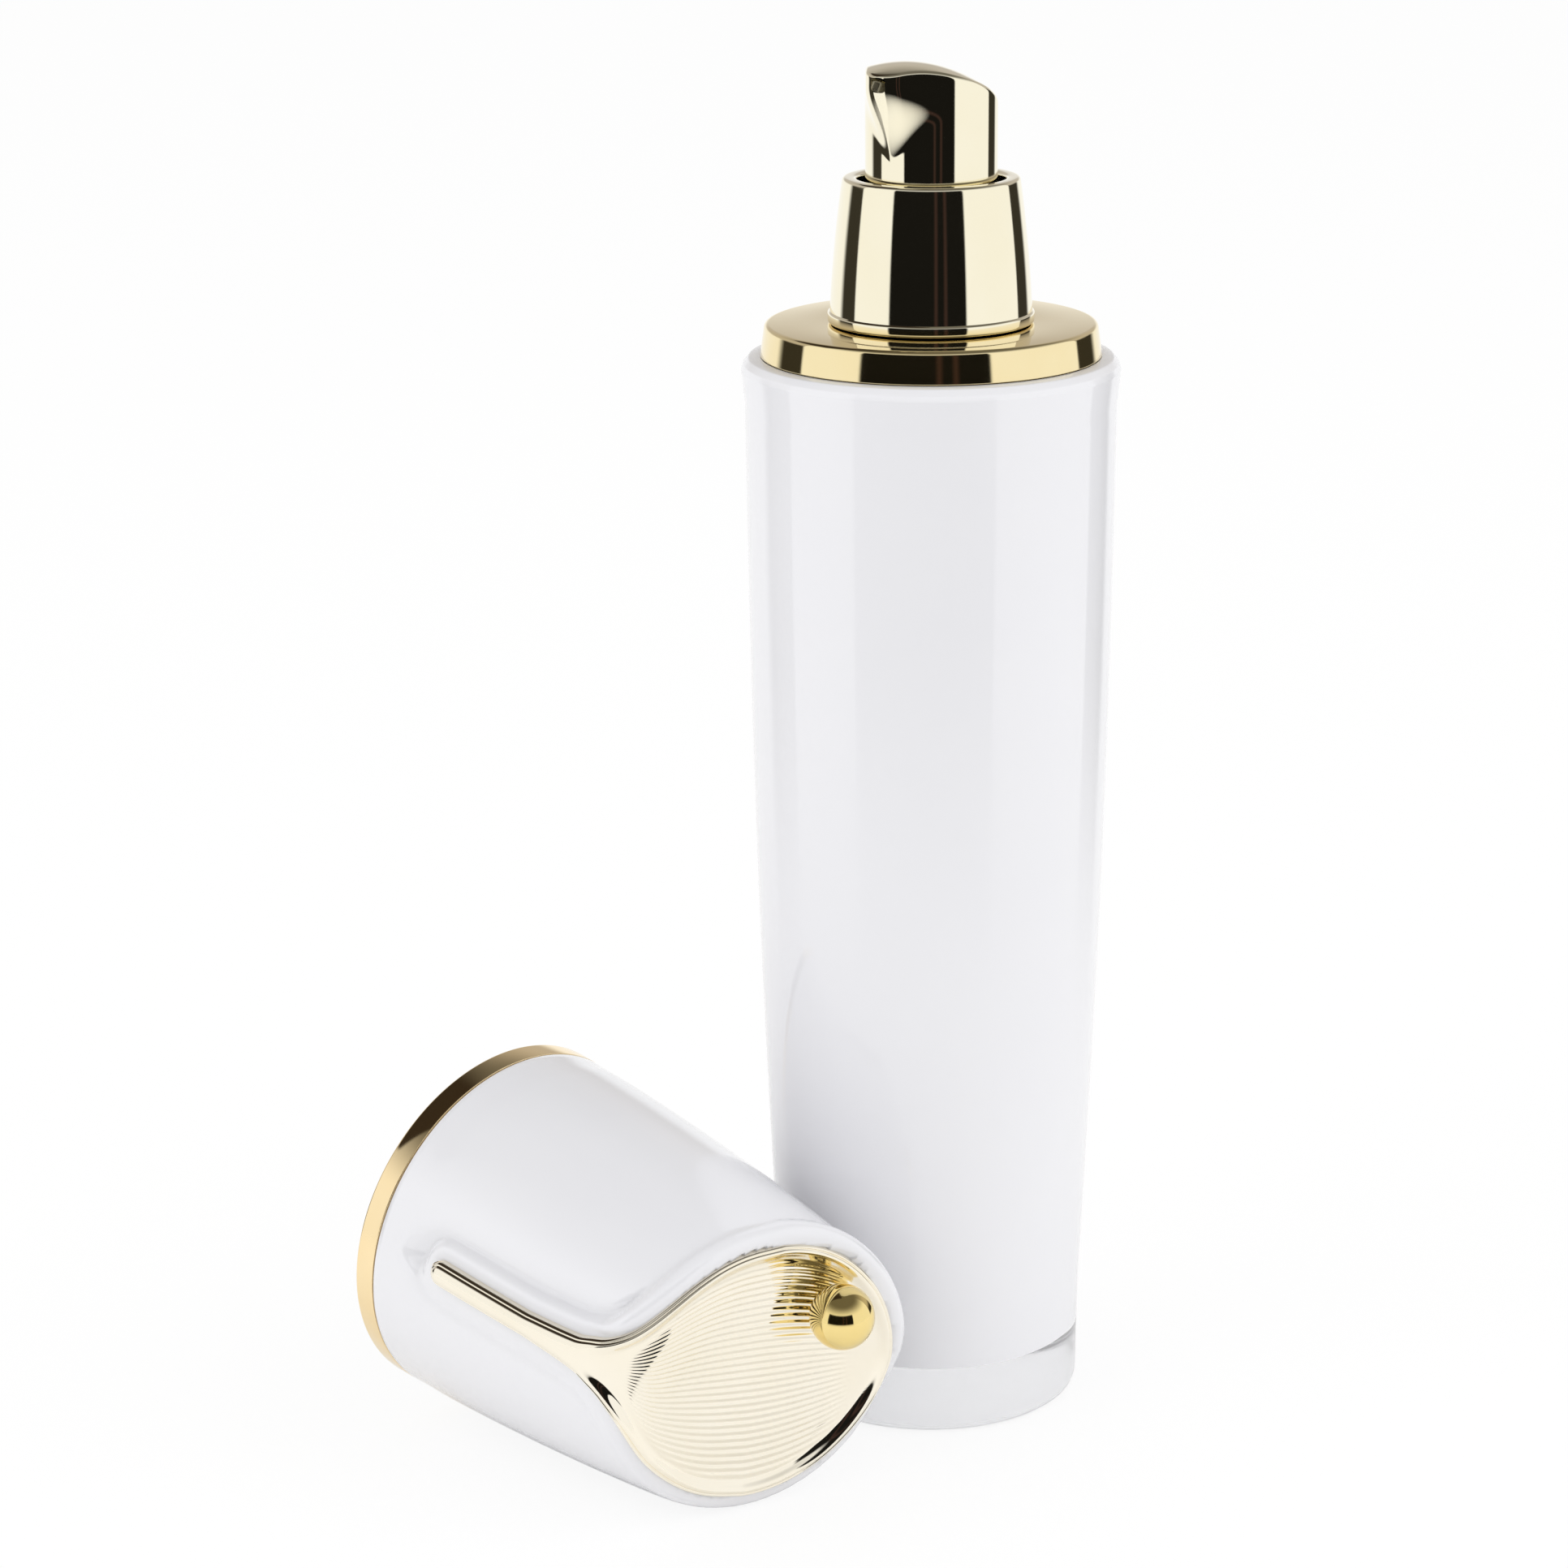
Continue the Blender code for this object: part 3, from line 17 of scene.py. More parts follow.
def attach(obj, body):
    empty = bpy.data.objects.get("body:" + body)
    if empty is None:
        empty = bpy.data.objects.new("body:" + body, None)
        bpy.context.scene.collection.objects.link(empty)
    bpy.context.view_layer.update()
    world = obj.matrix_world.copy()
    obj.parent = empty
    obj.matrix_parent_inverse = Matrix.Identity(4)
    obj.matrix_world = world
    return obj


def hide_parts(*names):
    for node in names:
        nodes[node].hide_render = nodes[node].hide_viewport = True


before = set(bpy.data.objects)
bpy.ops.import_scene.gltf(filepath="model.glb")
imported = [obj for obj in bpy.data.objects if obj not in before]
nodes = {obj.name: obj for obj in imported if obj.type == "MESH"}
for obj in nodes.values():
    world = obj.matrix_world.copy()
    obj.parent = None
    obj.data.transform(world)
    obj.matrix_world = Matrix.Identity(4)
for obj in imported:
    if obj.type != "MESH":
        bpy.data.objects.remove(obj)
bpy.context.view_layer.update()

MM = 0.001

# %% [markdown]
# Four small helpers serve the cells below. Colours are written as a designer reads
# them, in sRGB hex, and Blender's sockets want linear values, so one function turns
# them. The second adds a node, sets its properties and feeds its inputs, either
# with a value or with another node's socket. The third links new data to the scene
# as an object, and the last writes an edited mesh back.

# %% Colour, node and object helpers
def linear(code):
    """An sRGB hex colour as linear red, green, blue and alpha."""
    parts = [int(code[i:i + 2], 16) / 255 for i in (1, 3, 5)]
    return (*[p / 12.92 if p <= 0.04045 else ((p + 0.055) / 1.055) ** 2.4 for p in parts], 1.0)


def add(tree, kind, inputs=None, **settings):
    """Add a node with its settings; each input takes a value or a socket."""
    node = tree.nodes.new(kind)
    for name, value in settings.items():
        setattr(node, name, value)
    for key, value in (inputs or {}).items():
        if isinstance(value, bpy.types.NodeSocket):
            tree.links.new(value, node.inputs[key])
        else:
            node.inputs[key].default_value = value
    return node


def new_object(name, data):
    """An object of some data, linked to the scene."""
    made = bpy.data.objects.new(name, data)
    bpy.context.scene.collection.objects.link(made)
    return made


def written(bm, mesh):
    """Write an edited mesh back, free the editor, and return the mesh."""
    bm.to_mesh(mesh)
    bm.free()
    return mesh


RING_GOLD = "#F8E9BE"
print("the ring's gold, linear:", [round(v, 3) for v in linear(RING_GOLD)])

# %% [markdown]
# The camera comes first, because every look is judged through it. The photograph
# is a square, taken from a little above the shoulder with a moderately long lens.
# The angle, distance and lens were fitted to the ellipses of the bottle's rings,
# and are kept here as a pitch, a roll, a position and a focal length in pixels.

# %% Camera at the photograph's angle
PHOTO_SIDE = 1932
FOCAL_PIXELS = 4997.4
SENSOR_WIDTH = 36
PITCH, ROLL = 0.288, -0.008
EYE = Vector((-18.34, -489.35, 225.41)) * MM
NEAREST, FARTHEST = 0.01, 20

forward = Vector((0, math.cos(PITCH), -math.sin(PITCH)))
level_right = Vector((1, 0, 0))
level_up = level_right.cross(forward)
right = level_right * math.cos(ROLL) + level_up * math.sin(ROLL)
up = level_up * math.cos(ROLL) - level_right * math.sin(ROLL)
camera_data = bpy.data.cameras.new("photo_camera")
camera_data.sensor_width = SENSOR_WIDTH
camera_data.lens = FOCAL_PIXELS / PHOTO_SIDE * SENSOR_WIDTH
camera_data.clip_start, camera_data.clip_end = NEAREST, FARTHEST
camera = new_object("photo_camera", camera_data)
camera.matrix_world = Matrix.Translation(EYE) @ Matrix((right, up, -forward)).transposed().to_4x4()
bpy.context.scene.camera = camera
print("lens, mm:", round(camera_data.lens, 1))

# %% [markdown]
# Most of this object is turned: bottle, rings, sleeve, liner and bead are all
# profiles spun round an axis. Blender's Screw modifier could do it. Here one
# Geometry Nodes tree is the lathe. It reads a profile drawn as a chain of edges,
# moves it out to the radius of a guide circle, sweeps it round that circle, and
# merges what meets on the axis. Its inputs are named: segments, guide radius and
# finish. Every tree of this lesson starts with named inputs and ends with real
# geometry and a finish, so two functions make its two ends.

# %% The lathe, as a tree of Geometry Nodes
GUIDE_RADIUS = 30 * MM
WELD = 0.002 * MM


def new_tree(name, inputs, output):
    """A tree with named inputs and one output; returned with the sockets of its inputs."""
    tree = bpy.data.node_groups.new(name, "GeometryNodeTree")
    for label, kind in inputs.items():
        tree.interface.new_socket(label, in_out="INPUT", socket_type="NodeSocket" + kind)
    tree.interface.new_socket(output, in_out="OUTPUT", socket_type="NodeSocketGeometry")
    return tree, add(tree, "NodeGroupInput").outputs


def end_tree(tree, geometry, finish, output):
    """Make the geometry real, give it its finish and lead it out."""
    real = add(tree, "GeometryNodeRealizeInstances", {"Geometry": geometry})
    done = add(tree, "GeometryNodeSetMaterial", {"Geometry": real.outputs[0], "Material": finish})
    add(tree, "NodeGroupOutput", {output: done.outputs[0]})
    return tree


def lathe_tree():
    tree, given = new_tree("lathe", {"Profile": "Geometry", "Segments": "Int", "Guide Radius": "Float",
                                     "Finish": "Material"}, "Solid")
    chain = add(tree, "GeometryNodeMeshToCurve", {"Mesh": given["Profile"]})
    position = add(tree, "GeometryNodeInputPosition").outputs[0]
    place = add(tree, "ShaderNodeSeparateXYZ", {"Vector": position}).outputs
    outward = add(tree, "ShaderNodeMath", {0: place["X"], 1: given["Guide Radius"]}, operation="SUBTRACT")
    below = add(tree, "ShaderNodeMath", {0: place["Z"], 1: -1.0}, operation="MULTIPLY")
    flat = add(tree, "ShaderNodeCombineXYZ", {"X": outward.outputs[0], "Y": below.outputs[0]})
    section = add(tree, "GeometryNodeSetPosition",
                  {"Geometry": chain.outputs[0], "Position": flat.outputs[0]})
    circle = add(tree, "GeometryNodeCurvePrimitiveCircle",
                 {"Resolution": given["Segments"], "Radius": given["Guide Radius"]})
    upright = add(tree, "GeometryNodeSetCurveNormal", {"Curve": circle.outputs["Curve"]}, mode="Z_UP")
    swept = add(tree, "GeometryNodeCurveToMesh",
                {"Curve": upright.outputs[0], "Profile Curve": section.outputs[0]})
    merged = add(tree, "GeometryNodeMergeByDistance", {"Geometry": swept.outputs[0], "Distance": WELD})
    return end_tree(tree, merged.outputs[0], given["Finish"], "Solid")


lathe = lathe_tree()
print("lathe inputs:", [item.name for item in lathe.interface.items_tree if item.in_out == "INPUT"])

# %% [markdown]
# A modifier keeps its inputs under each socket's identifier, so a helper looks the
# identifier up by name. The evaluated result is taken as a plain mesh, and the draft
# goes. The plain mesh is cleaned: doubles are merged, faces are turned outwards, and
# edges sharper than a limit stay crisp while all others shade smooth, which is what
# makes polished metal look turned.

# %% From a tree to a plain piece
TINY_EDGE = 0.0005 * MM


def plain_mesh(draft_mesh, tree, inputs):
    """Run a tree on a mesh, and return the evaluated result as a plain mesh."""
    draft = new_object(tree.name + "_draft", draft_mesh)
    modifier = draft.modifiers.new(tree.name, "NODES")
    modifier.node_group = tree
    for item in tree.interface.items_tree:
        if item.in_out == "INPUT" and item.name in inputs:
            modifier[item.identifier] = inputs[item.name]
    evaluated = draft.evaluated_get(bpy.context.evaluated_depsgraph_get())
    mesh = bpy.data.meshes.new_from_object(evaluated)
    bpy.data.objects.remove(draft)
    return mesh


def clean(mesh, crisp_deg):
    """Merge, turn faces outwards and shade smooth, with crisp edges kept."""
    bm = bmesh.new()
    bm.from_mesh(mesh)
    bmesh.ops.remove_doubles(bm, verts=bm.verts, dist=WELD)
    bmesh.ops.dissolve_degenerate(bm, edges=bm.edges, dist=TINY_EDGE)
    bmesh.ops.recalc_face_normals(bm, faces=bm.faces)
    if bm.calc_volume(signed=True) < 0:
        bmesh.ops.reverse_faces(bm, faces=bm.faces)
    written(bm, mesh)
    mesh.shade_smooth()
    mesh.set_sharp_from_angle(angle=math.radians(crisp_deg))


def triangles(mesh):
    """How many triangles the faces of a mesh make."""
    return sum(len(face.vertices) - 2 for face in mesh.polygons)


def show(name, mesh, finish, crisp_deg=32):
    """Link a cleaned mesh as a piece with one finish."""
    clean(mesh, crisp_deg)
    mesh.name = name
    mesh.materials.clear()
    mesh.materials.append(finish)
    print(name, "triangles:", triangles(mesh))
    return new_object(name, mesh)


def turn(name, profile, finish, segments=192):
    """Turn a profile of (radius, height) points in mm on the lathe."""
    chain = bpy.data.meshes.new(name + "_profile")
    edges = [(i, i + 1) for i in range(len(profile) - 1)]
    if profile[0][0] > 0 or profile[-1][0] > 0:
        edges.append((len(profile) - 1, 0))
    chain.from_pydata([(r * MM, 0, z * MM) for r, z in profile], edges, [])
    inputs = {"Segments": segments, "Guide Radius": GUIDE_RADIUS, "Finish": finish}
    return show(name, plain_mesh(chain, lathe, inputs), finish)


# %% [markdown]
# A moulded or polished edge is never quite sharp: a small radius there catches a
# line of light. Profiles are therefore written as corner points with an optional
# radius, and this helper rounds each corner with a short arc.

# %% Rounding the corners of a profile
MOST_OF_A_SIDE = 0.49


def rounded(corners, steps=6):
    """Round the corners of an open profile: each is (r, z) or (r, z, radius)."""
    points = []
    for i, corner in enumerate(corners):
        here = Vector(corner[:2])
        radius = corner[2] if len(corner) > 2 else 0
        if not radius or i in (0, len(corners) - 1):
            points.append(tuple(here))
            continue
        back = Vector(corners[i - 1][:2]) - here
        ahead = Vector(corners[i + 1][:2]) - here
        half = back.angle(ahead) / 2
        reach = min(radius / math.tan(half), back.length * MOST_OF_A_SIDE, ahead.length * MOST_OF_A_SIDE)
        start, end = here + back.normalized() * reach, here + ahead.normalized() * reach
        for k in range(steps + 1):
            t = k / steps
            points.append(tuple(start * (1 - t) ** 2 + here * 2 * t * (1 - t) + end * t * t))
    return points


print("a rounded corner has", len(rounded([(0, 0), (5, 0, 1), (5, 5)])) - 2, "points")

# %% [markdown]
# The finishes come next. All of them are put together by one function: constant
# values on the shader, clouds between two colours, wear of the roughness and a fine
# relief, each at a scale in millimetres. The rings, the sleeve and the head are
# plastic or aluminium with a mirror gold plating: a pale champagne gold. A plated
# mirror isn't perfect. It has a very fine grain from polishing and faint clouds
# where it was handled, so roughness and bump vary a little. Base colours are what
# the photograph shows where white card is reflected.

# %% Plated gold
GRAIN_MM = 0.18
CLOUD_MM = 9.0
SCALE_PER_MM = 1000


def new_finish(name, values, clouds=None, wear=None, relief=None):
    """A material: constant values, clouds of two colours, worn roughness and a fine relief.

    clouds: size in mm, detail, colour, other colour
    wear: size in mm, detail, lowest and highest of the pattern, roughness at each
    relief: size in mm, detail, strength, height in mm
    """
    made = bpy.data.materials.new(name)
    made.use_nodes = True
    tree = made.node_tree
    sockets = tree.nodes["Principled BSDF"].inputs
    for label, value in values.items():
        sockets[label].default_value = value
    place = add(tree, "ShaderNodeTexCoord").outputs["Object"]
    patterns = [spec and add(tree, "ShaderNodeTexNoise",
                             {"Vector": place, "Scale": SCALE_PER_MM / spec[0], "Detail": spec[1]})
                for spec in (clouds, wear, relief)]
    if clouds:
        tint = add(tree, "ShaderNodeMix", {"Factor": patterns[0].outputs["Fac"], "A": linear(clouds[2]),
                                           "B": linear(clouds[3])}, data_type="RGBA")
        tree.links.new(tint.outputs[2], sockets["Base Color"])
    if wear:
        worn = add(tree, "ShaderNodeMapRange",
                   {"Value": patterns[1].outputs["Fac"], "From Min": wear[2], "From Max": wear[3],
                    "To Min": wear[4], "To Max": wear[5]})
        tree.links.new(worn.outputs["Result"], sockets["Roughness"])
    if relief:
        bump = add(tree, "ShaderNodeBump", {"Height": patterns[2].outputs["Fac"], "Strength": relief[2],
                                            "Distance": relief[3] * MM})
        tree.links.new(bump.outputs["Normal"], sockets["Normal"])
    return made


def plated_gold(name, colour, deep_colour, roughness):
    """Mirror gold plating with a polished grain and faint handling clouds."""
    return new_finish(name, {"Metallic": 1.0}, clouds=(CLOUD_MM, 3.0, colour, deep_colour),
                      wear=(CLOUD_MM, 3.0, 0.3, 0.7, roughness * 0.8, roughness * 1.3),
                      relief=(GRAIN_MM, 2.0, 0.02, 0.02))


gold_sleeve = plated_gold("plated_gold_sleeve", "#FAF4DE", "#F6EED2", 0.04)
gold_ring = plated_gold("plated_gold_ring", RING_GOLD, "#F3DFAA", 0.05)
gold_rim = plated_gold("plated_gold_rim", "#FDE8BE", "#F9DFAC", 0.05)
gold_ornament = plated_gold("plated_gold_ornament", "#FAF4E6", "#F6EEDA", 0.05)
gold_bead = plated_gold("plated_gold_bead", "#F7E3A2", "#F0D68C", 0.06)
print("gold finishes:", [m.name for m in bpy.data.materials if m.name.startswith("plated_gold")])

# %% [markdown]
# The bottle is a double wall: a clear moulded acrylic (PMMA) tumbler over a white
# moulded polypropylene bottle. Acrylic bends light by 1.49, so the white behind it
# fills the wall to its very edge: the eye reads a white body under a clear skin,
# and that is how the wall is finished. Only the thick base is clear all through.
# The white parts of the pump and the cap are polypropylene. Moulded white plastic
# has a faint orange peel, and its white wanders by a shade where the melt flowed.

# %% Acrylic and white mouldings
PEEL_MM = 1.6
FLOW_MM = 22.0
ACRYLIC_IOR = 1.49


def moulded_white(name, colour, shade, roughness, coat=0.0, peel=0.05):
    """Injection-moulded white plastic with orange peel and flow shades."""
    values = {"Roughness": roughness, "IOR": ACRYLIC_IOR, "Coat Weight": coat, "Coat Roughness": 0.03}
    return new_finish(name, values, clouds=(FLOW_MM, 2.0, colour, shade), relief=(PEEL_MM, 1.0, peel, 0.02))


acrylic = new_finish("clear_acrylic_wall", {"Base Color": linear("#FDFDFF"), "Roughness": 0.02,
                                            "IOR": ACRYLIC_IOR, "Transmission Weight": 0.78},
                     relief=(FLOW_MM, 1.0, 0.05, 0.2))
sprayed_white = new_finish("white_lacquer_inside", {"Roughness": 1.0, "Specular IOR Level": 0.0},
                           clouds=(FLOW_MM, 3.0, "#FFFFFF", "#FDFDFF"))
skinned_white = moulded_white("white_under_clear_acrylic", "#EAEAED", "#E7E7EB", 0.5, coat=1.0, peel=0.02)
white_bottle = moulded_white("white_polypropylene_bottle", "#F1F1F5", "#EDEDF2", 0.3)
white_cap = moulded_white("white_acrylic_cap", "#E8E8EB", "#E5E5E9", 0.16, coat=1.0, peel=0.03)
white_liner = moulded_white("white_polypropylene_liner", "#EEEEF0", "#E9E9EC", 0.35)
white_pump = moulded_white("white_polypropylene_pump", "#EFEFEF", "#E6E6E4", 0.32)
print("white finishes:", [m.name for m in bpy.data.materials if m.name.startswith("white")])

# %% [markdown]
# The bottle's side isn't a straight cone: it swells slightly, which the eye reads
# as a soft, full shape. Its radius is a table of shares between the foot and the
# top of the side, read with a cubic curve so that the wall has no kinks.

# %% The side of the bottle
SIDE_TOP = 129.3
FOOT_RADIUS, TOP_RADIUS = 19.2, 22.78
HEIGHT_SHARES = (0.0, 0.1, 0.2, 0.35, 0.5, 0.65, 0.8, 1.0)
RADIUS_SHARES = (0.0, 0.06, 0.23, 0.47, 0.67, 0.81, 0.915, 1.0)


def table(places, values, place):
    """Read a table with a cubic curve through its points."""
    i = max(k for k in range(len(places) - 1) if place >= places[k] or k == 0)

    def slope(k):
        low, high = max(k - 1, 0), min(k + 1, len(places) - 1)
        return (values[high] - values[low]) / (places[high] - places[low])

    span = places[i + 1] - places[i]
    t = (place - places[i]) / span
    return (values[i] * (1 + 2 * t) * (1 - t) ** 2 + values[i + 1] * t * t * (3 - 2 * t)
            + span * (slope(i) * t * (1 - t) ** 2 - slope(i + 1) * t * t * (1 - t)))


def side(height):
    return FOOT_RADIUS + (TOP_RADIUS - FOOT_RADIUS) * table(HEIGHT_SHARES, RADIUS_SHARES, height / SIDE_TOP)


print("side radius at half height, mm:", round(side(SIDE_TOP / 2), 2))

# %% [markdown]
# The clear outer bottle: a heavy base 9 mm thick, walls of 2.2 mm, and a rounded
# lip that leans out a little. It is one closed profile, so the wall has a real
# inside and outside face. The inside is sprayed white and gets the sprayed finish,
# the outside of the wall gets white under a clear skin, and the base stays clear.

# %% Outer bottle
WALL = 2.2
BASE_THICK = 9.0
NEAR_A_WALL = 0.1
outside = [(side(z), z) for z in np.linspace(5.9, SIDE_TOP, 121)]
inside = [(side(z) - WALL, z) for z in np.linspace(SIDE_TOP + 1, BASE_THICK + 3, 36)]
lip = [(23.2, 133.5, 0.5), (22.95, 134.2, 0.4), (22.3, 134.9, 0.4), (20.6, 135.05, 0.3)]
profile = rounded([(0, 0), (side(0), 0, 1.6), outside[0]], 8) + outside[1:]
profile += rounded([outside[-1], *lip, inside[0]], 4)[1:] + inside[1:]
profile += rounded([inside[-1], (side(BASE_THICK) - WALL, BASE_THICK, 1.0), (0, BASE_THICK)], 6)[1:]
outer_bottle = turn("outer_bottle_fine", profile, acrylic)
outer_bottle.data.materials.append(sprayed_white)
outer_bottle.data.materials.append(skinned_white)
for face in outer_bottle.data.polygons:
    height, radius = face.center.z / MM, math.hypot(*face.center.xy) / MM
    if height > BASE_THICK - NEAR_A_WALL:
        face.material_index = 1 if radius < side(min(height, SIDE_TOP)) - WALL + NEAR_A_WALL else 2
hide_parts("outer_bottle")
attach(outer_bottle, "bottle")

# %% [markdown]
# The white inner bottle holds the liquid. Its side follows the outer wall at a
# third of a millimetre, and its shoulder runs up to the neck. The neck's screw
# thread follows a helix, so it is a second small tree: a spiral of the thread's
# pitch, swept with a small circle that is half sunk in the neck.

# %% Inner bottle
GAP = 0.3
INNER_WALL = 1.3
UNDER_FLOOR, FLOOR = 9.3, 10.6
low = [(side(z) - WALL - GAP, z) for z in np.linspace(11, 125, 36)]
inner_low = [(r - INNER_WALL, z) for r, z in reversed(low[1:])]
foot = (side(UNDER_FLOOR) - WALL - GAP, UNDER_FLOOR, 0.9)
inner_foot = (side(11) - WALL - GAP - INNER_WALL, FLOOR, 0.8)
neck = [(20.25, 127.0, 1.5), (18.9, 128.2, 1.0), (9.4, 130.8, 1.5), (8.1, 132.2, 0.8), (8.1, 147.5, 0.3),
        (6.8, 147.5, 0.3), (6.8, 129.6, 1.0), (17.6, 127.0, 1.5)]
profile = rounded([(0, UNDER_FLOOR), foot, low[0]], 5) + low[1:]
profile += rounded([low[-1], *neck, inner_low[0]], 4)[1:] + inner_low[1:]
profile += rounded([inner_low[-1], inner_foot, (0, FLOOR)], 5)[1:]
inner_bottle = turn("inner_bottle_fine", profile, white_bottle, segments=160)


def thread_tree():
    kinds = {name: "Float" for name in ("Radius", "Pitch", "Turns", "Foot Height", "Width")}
    tree, given = new_tree("screw_thread", {"Anything": "Geometry", **kinds, "Finish": "Material"}, "Thread")
    rise = add(tree, "ShaderNodeMath", {0: given["Pitch"], 1: given["Turns"]}, operation="MULTIPLY")
    spiral = add(tree, "GeometryNodeCurveSpiral",
                 {"Resolution": 64, "Rotations": given["Turns"], "Start Radius": given["Radius"],
                  "End Radius": given["Radius"], "Height": rise.outputs[0]})
    lift = add(tree, "ShaderNodeCombineXYZ", {"Z": given["Foot Height"]})
    raised = add(tree, "GeometryNodeTransform",
                 {"Geometry": spiral.outputs[0], "Translation": lift.outputs[0]})
    upright = add(tree, "GeometryNodeSetCurveNormal", {"Curve": raised.outputs[0]}, mode="Z_UP")
    section = add(tree, "GeometryNodeCurvePrimitiveCircle", {"Resolution": 8, "Radius": given["Width"]})
    swept = add(tree, "GeometryNodeCurveToMesh",
                {"Curve": upright.outputs[0], "Profile Curve": section.outputs["Curve"], "Fill Caps": True})
    return end_tree(tree, swept.outputs[0], given["Finish"], "Thread")


thread_sizes = {"Radius": 8.15 * MM, "Pitch": 3.175 * MM, "Turns": 1.25, "Foot Height": 142.0 * MM,
                "Width": 0.6 * MM, "Finish": white_bottle}
thread_mesh = plain_mesh(bpy.data.meshes.new("thread_draft"), thread_tree(), thread_sizes)
neck_thread = show("neck_thread", thread_mesh, white_bottle, 60)
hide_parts("inner_bottle")
for piece in (inner_bottle, neck_thread):
    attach(piece, "bottle")

# %% [markdown]
# The shoulder ring is the gold collar that closes the double wall. Its flat top
# mirrors the room behind, its side mirrors the room in front, and the soft radius
# between them draws a thin bright line all round.

# %% Shoulder ring
profile = rounded([(9.25, 138.4), (9.25, 139.0, 0.15), (20.3, 139.0, 0.65), (20.86, 135.1, 0.12),
                   (20.25, 135.1), (20.25, 128.6, 0.2), (19.15, 128.6, 0.2), (19.15, 137.6),
                   (9.25, 137.6, 0.1), (9.25, 138.4)])[:-1]
ring = turn("shoulder_ring_fine", profile, gold_ring, segments=224)
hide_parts("shoulder_ring")
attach(ring, "bottle")

# %% [markdown]
# The sleeve hides the screw closure. It is a barrel: it narrows upwards with a
# slight belly, has a rolled bead at its foot, and a rolled lip round the opening
# in which the head slides. The belly is what bends the mirrored room into long
# tapering stripes.

# %% Closure sleeve
SLEEVE_LOW, SLEEVE_TOP = 140.4, 156.7
SLEEVE_LOW_RADIUS, SLEEVE_TOP_RADIUS, SLEEVE_BELLY = 12.33, 10.75, 0.2
BEAD_LOW, BEAD_RADIUS, BORE = 139.08, 12.6, 11.4
MOUTH_RADIUS, MOUTH_LOW = 9.0, 151.5
SLEEVE_WALL = 0.95


def barrel(share, low, high, belly):
    """Radius of a cone with a slight belly, at a share of its height."""
    return low + (high - low) * share + belly * 4 * share * (1 - share)


def sleeve(height):
    share = (height - SLEEVE_LOW) / (SLEEVE_TOP - SLEEVE_LOW)
    return barrel(share, SLEEVE_LOW_RADIUS, SLEEVE_TOP_RADIUS, SLEEVE_BELLY)


wall = [(sleeve(z), z) for z in np.linspace(SLEEVE_LOW + 0.15, SLEEVE_TOP - 0.9, 24)]
bead = [(BORE, BEAD_LOW, 0.1), (BEAD_RADIUS, BEAD_LOW, 0.5), (BEAD_RADIUS, 140.35, 0.45)]
lip = [(SLEEVE_TOP_RADIUS, SLEEVE_TOP, 0.6), (MOUTH_RADIUS, SLEEVE_TOP, 0.5), (MOUTH_RADIUS, MOUTH_LOW, 0.1)]
bore = [(sleeve(MOUTH_LOW) - SLEEVE_WALL, MOUTH_LOW, 0.1), (BORE, SLEEVE_LOW), (BORE, BEAD_LOW)]
profile = rounded([*bead, wall[0]])[1:] + wall[1:] + rounded([wall[-1], *lip, *bore])[1:]
sleeve_piece = turn("closure_sleeve_fine", profile, gold_sleeve, segments=224)
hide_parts("closure_sleeve")
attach(sleeve_piece, "closure")

# %% [markdown]
# The head is the piece that the finger presses. Seen from above it is a teardrop: a
# circle and a small round tip, joined by straight flanks. Its crown is a dome that
# leans towards the tip. It isn't turned, so its skin is a grid: at each angle a
# column of points climbs the side, rolls over the edge and runs to the middle of
# the crown. Low on the side the outline is the plain circle, and a slanted underside
# leads from it out to the teardrop: long under the tip, short at the flanks. That
# slant catches the light under the spout.

# %% Head: the rule of its skin
HEAD_BOTTOM, HEAD_TOP = 156.0, 170.85
HEAD_RADIUS = 8.0
NOSE_AZIMUTH = math.radians(-129)
NOSE_REACH = 2.7
NOSE_TIP_RADIUS = 3.5
NOSE_CENTRE = HEAD_RADIUS + NOSE_REACH - NOSE_TIP_RADIUS
FLANK_TURN = math.acos((HEAD_RADIUS - NOSE_TIP_RADIUS) / NOSE_CENTRE)
TIP_TURN = math.atan2(NOSE_TIP_RADIUS * math.sin(FLANK_TURN),
                      NOSE_CENTRE + NOSE_TIP_RADIUS * math.cos(FLANK_TURN))
UNDER_START, UNDER_SLANT = 1.7, 3.5
UNDER_TIP_HEIGHT, UNDER_FLANK_HEIGHT, UNDER_FALL = 11.0, 1.5, 1.5
CROWN_PEAK_OUT, CROWN_LONG_RADIUS, CROWN_CROSS_RADIUS = 5.1, 14.1, 16.9
FOOT_BEVEL, EDGE_ROUND = 0.15, 0.4
SIDE_ROWS, EDGE_STEPS, CROWN_STEPS = 60, 7, 20


def ramp(value, low=0.0, high=1.0):
    """A soft step from 0 at low to 1 at high, for a number or an array."""
    t = np.clip((value - low) / (high - low), 0, 1)
    return t * t * (3 - 2 * t)


def crown(radius, off_nose):
    """Height of the domed crown at a radius and an angle off the nose."""
    along = radius * math.cos(off_nose) - CROWN_PEAK_OUT
    across = radius * math.sin(off_nose)
    drop = CROWN_LONG_RADIUS - math.sqrt(CROWN_LONG_RADIUS ** 2 - along ** 2)
    return HEAD_TOP - drop - across ** 2 / (2 * CROWN_CROSS_RADIUS)


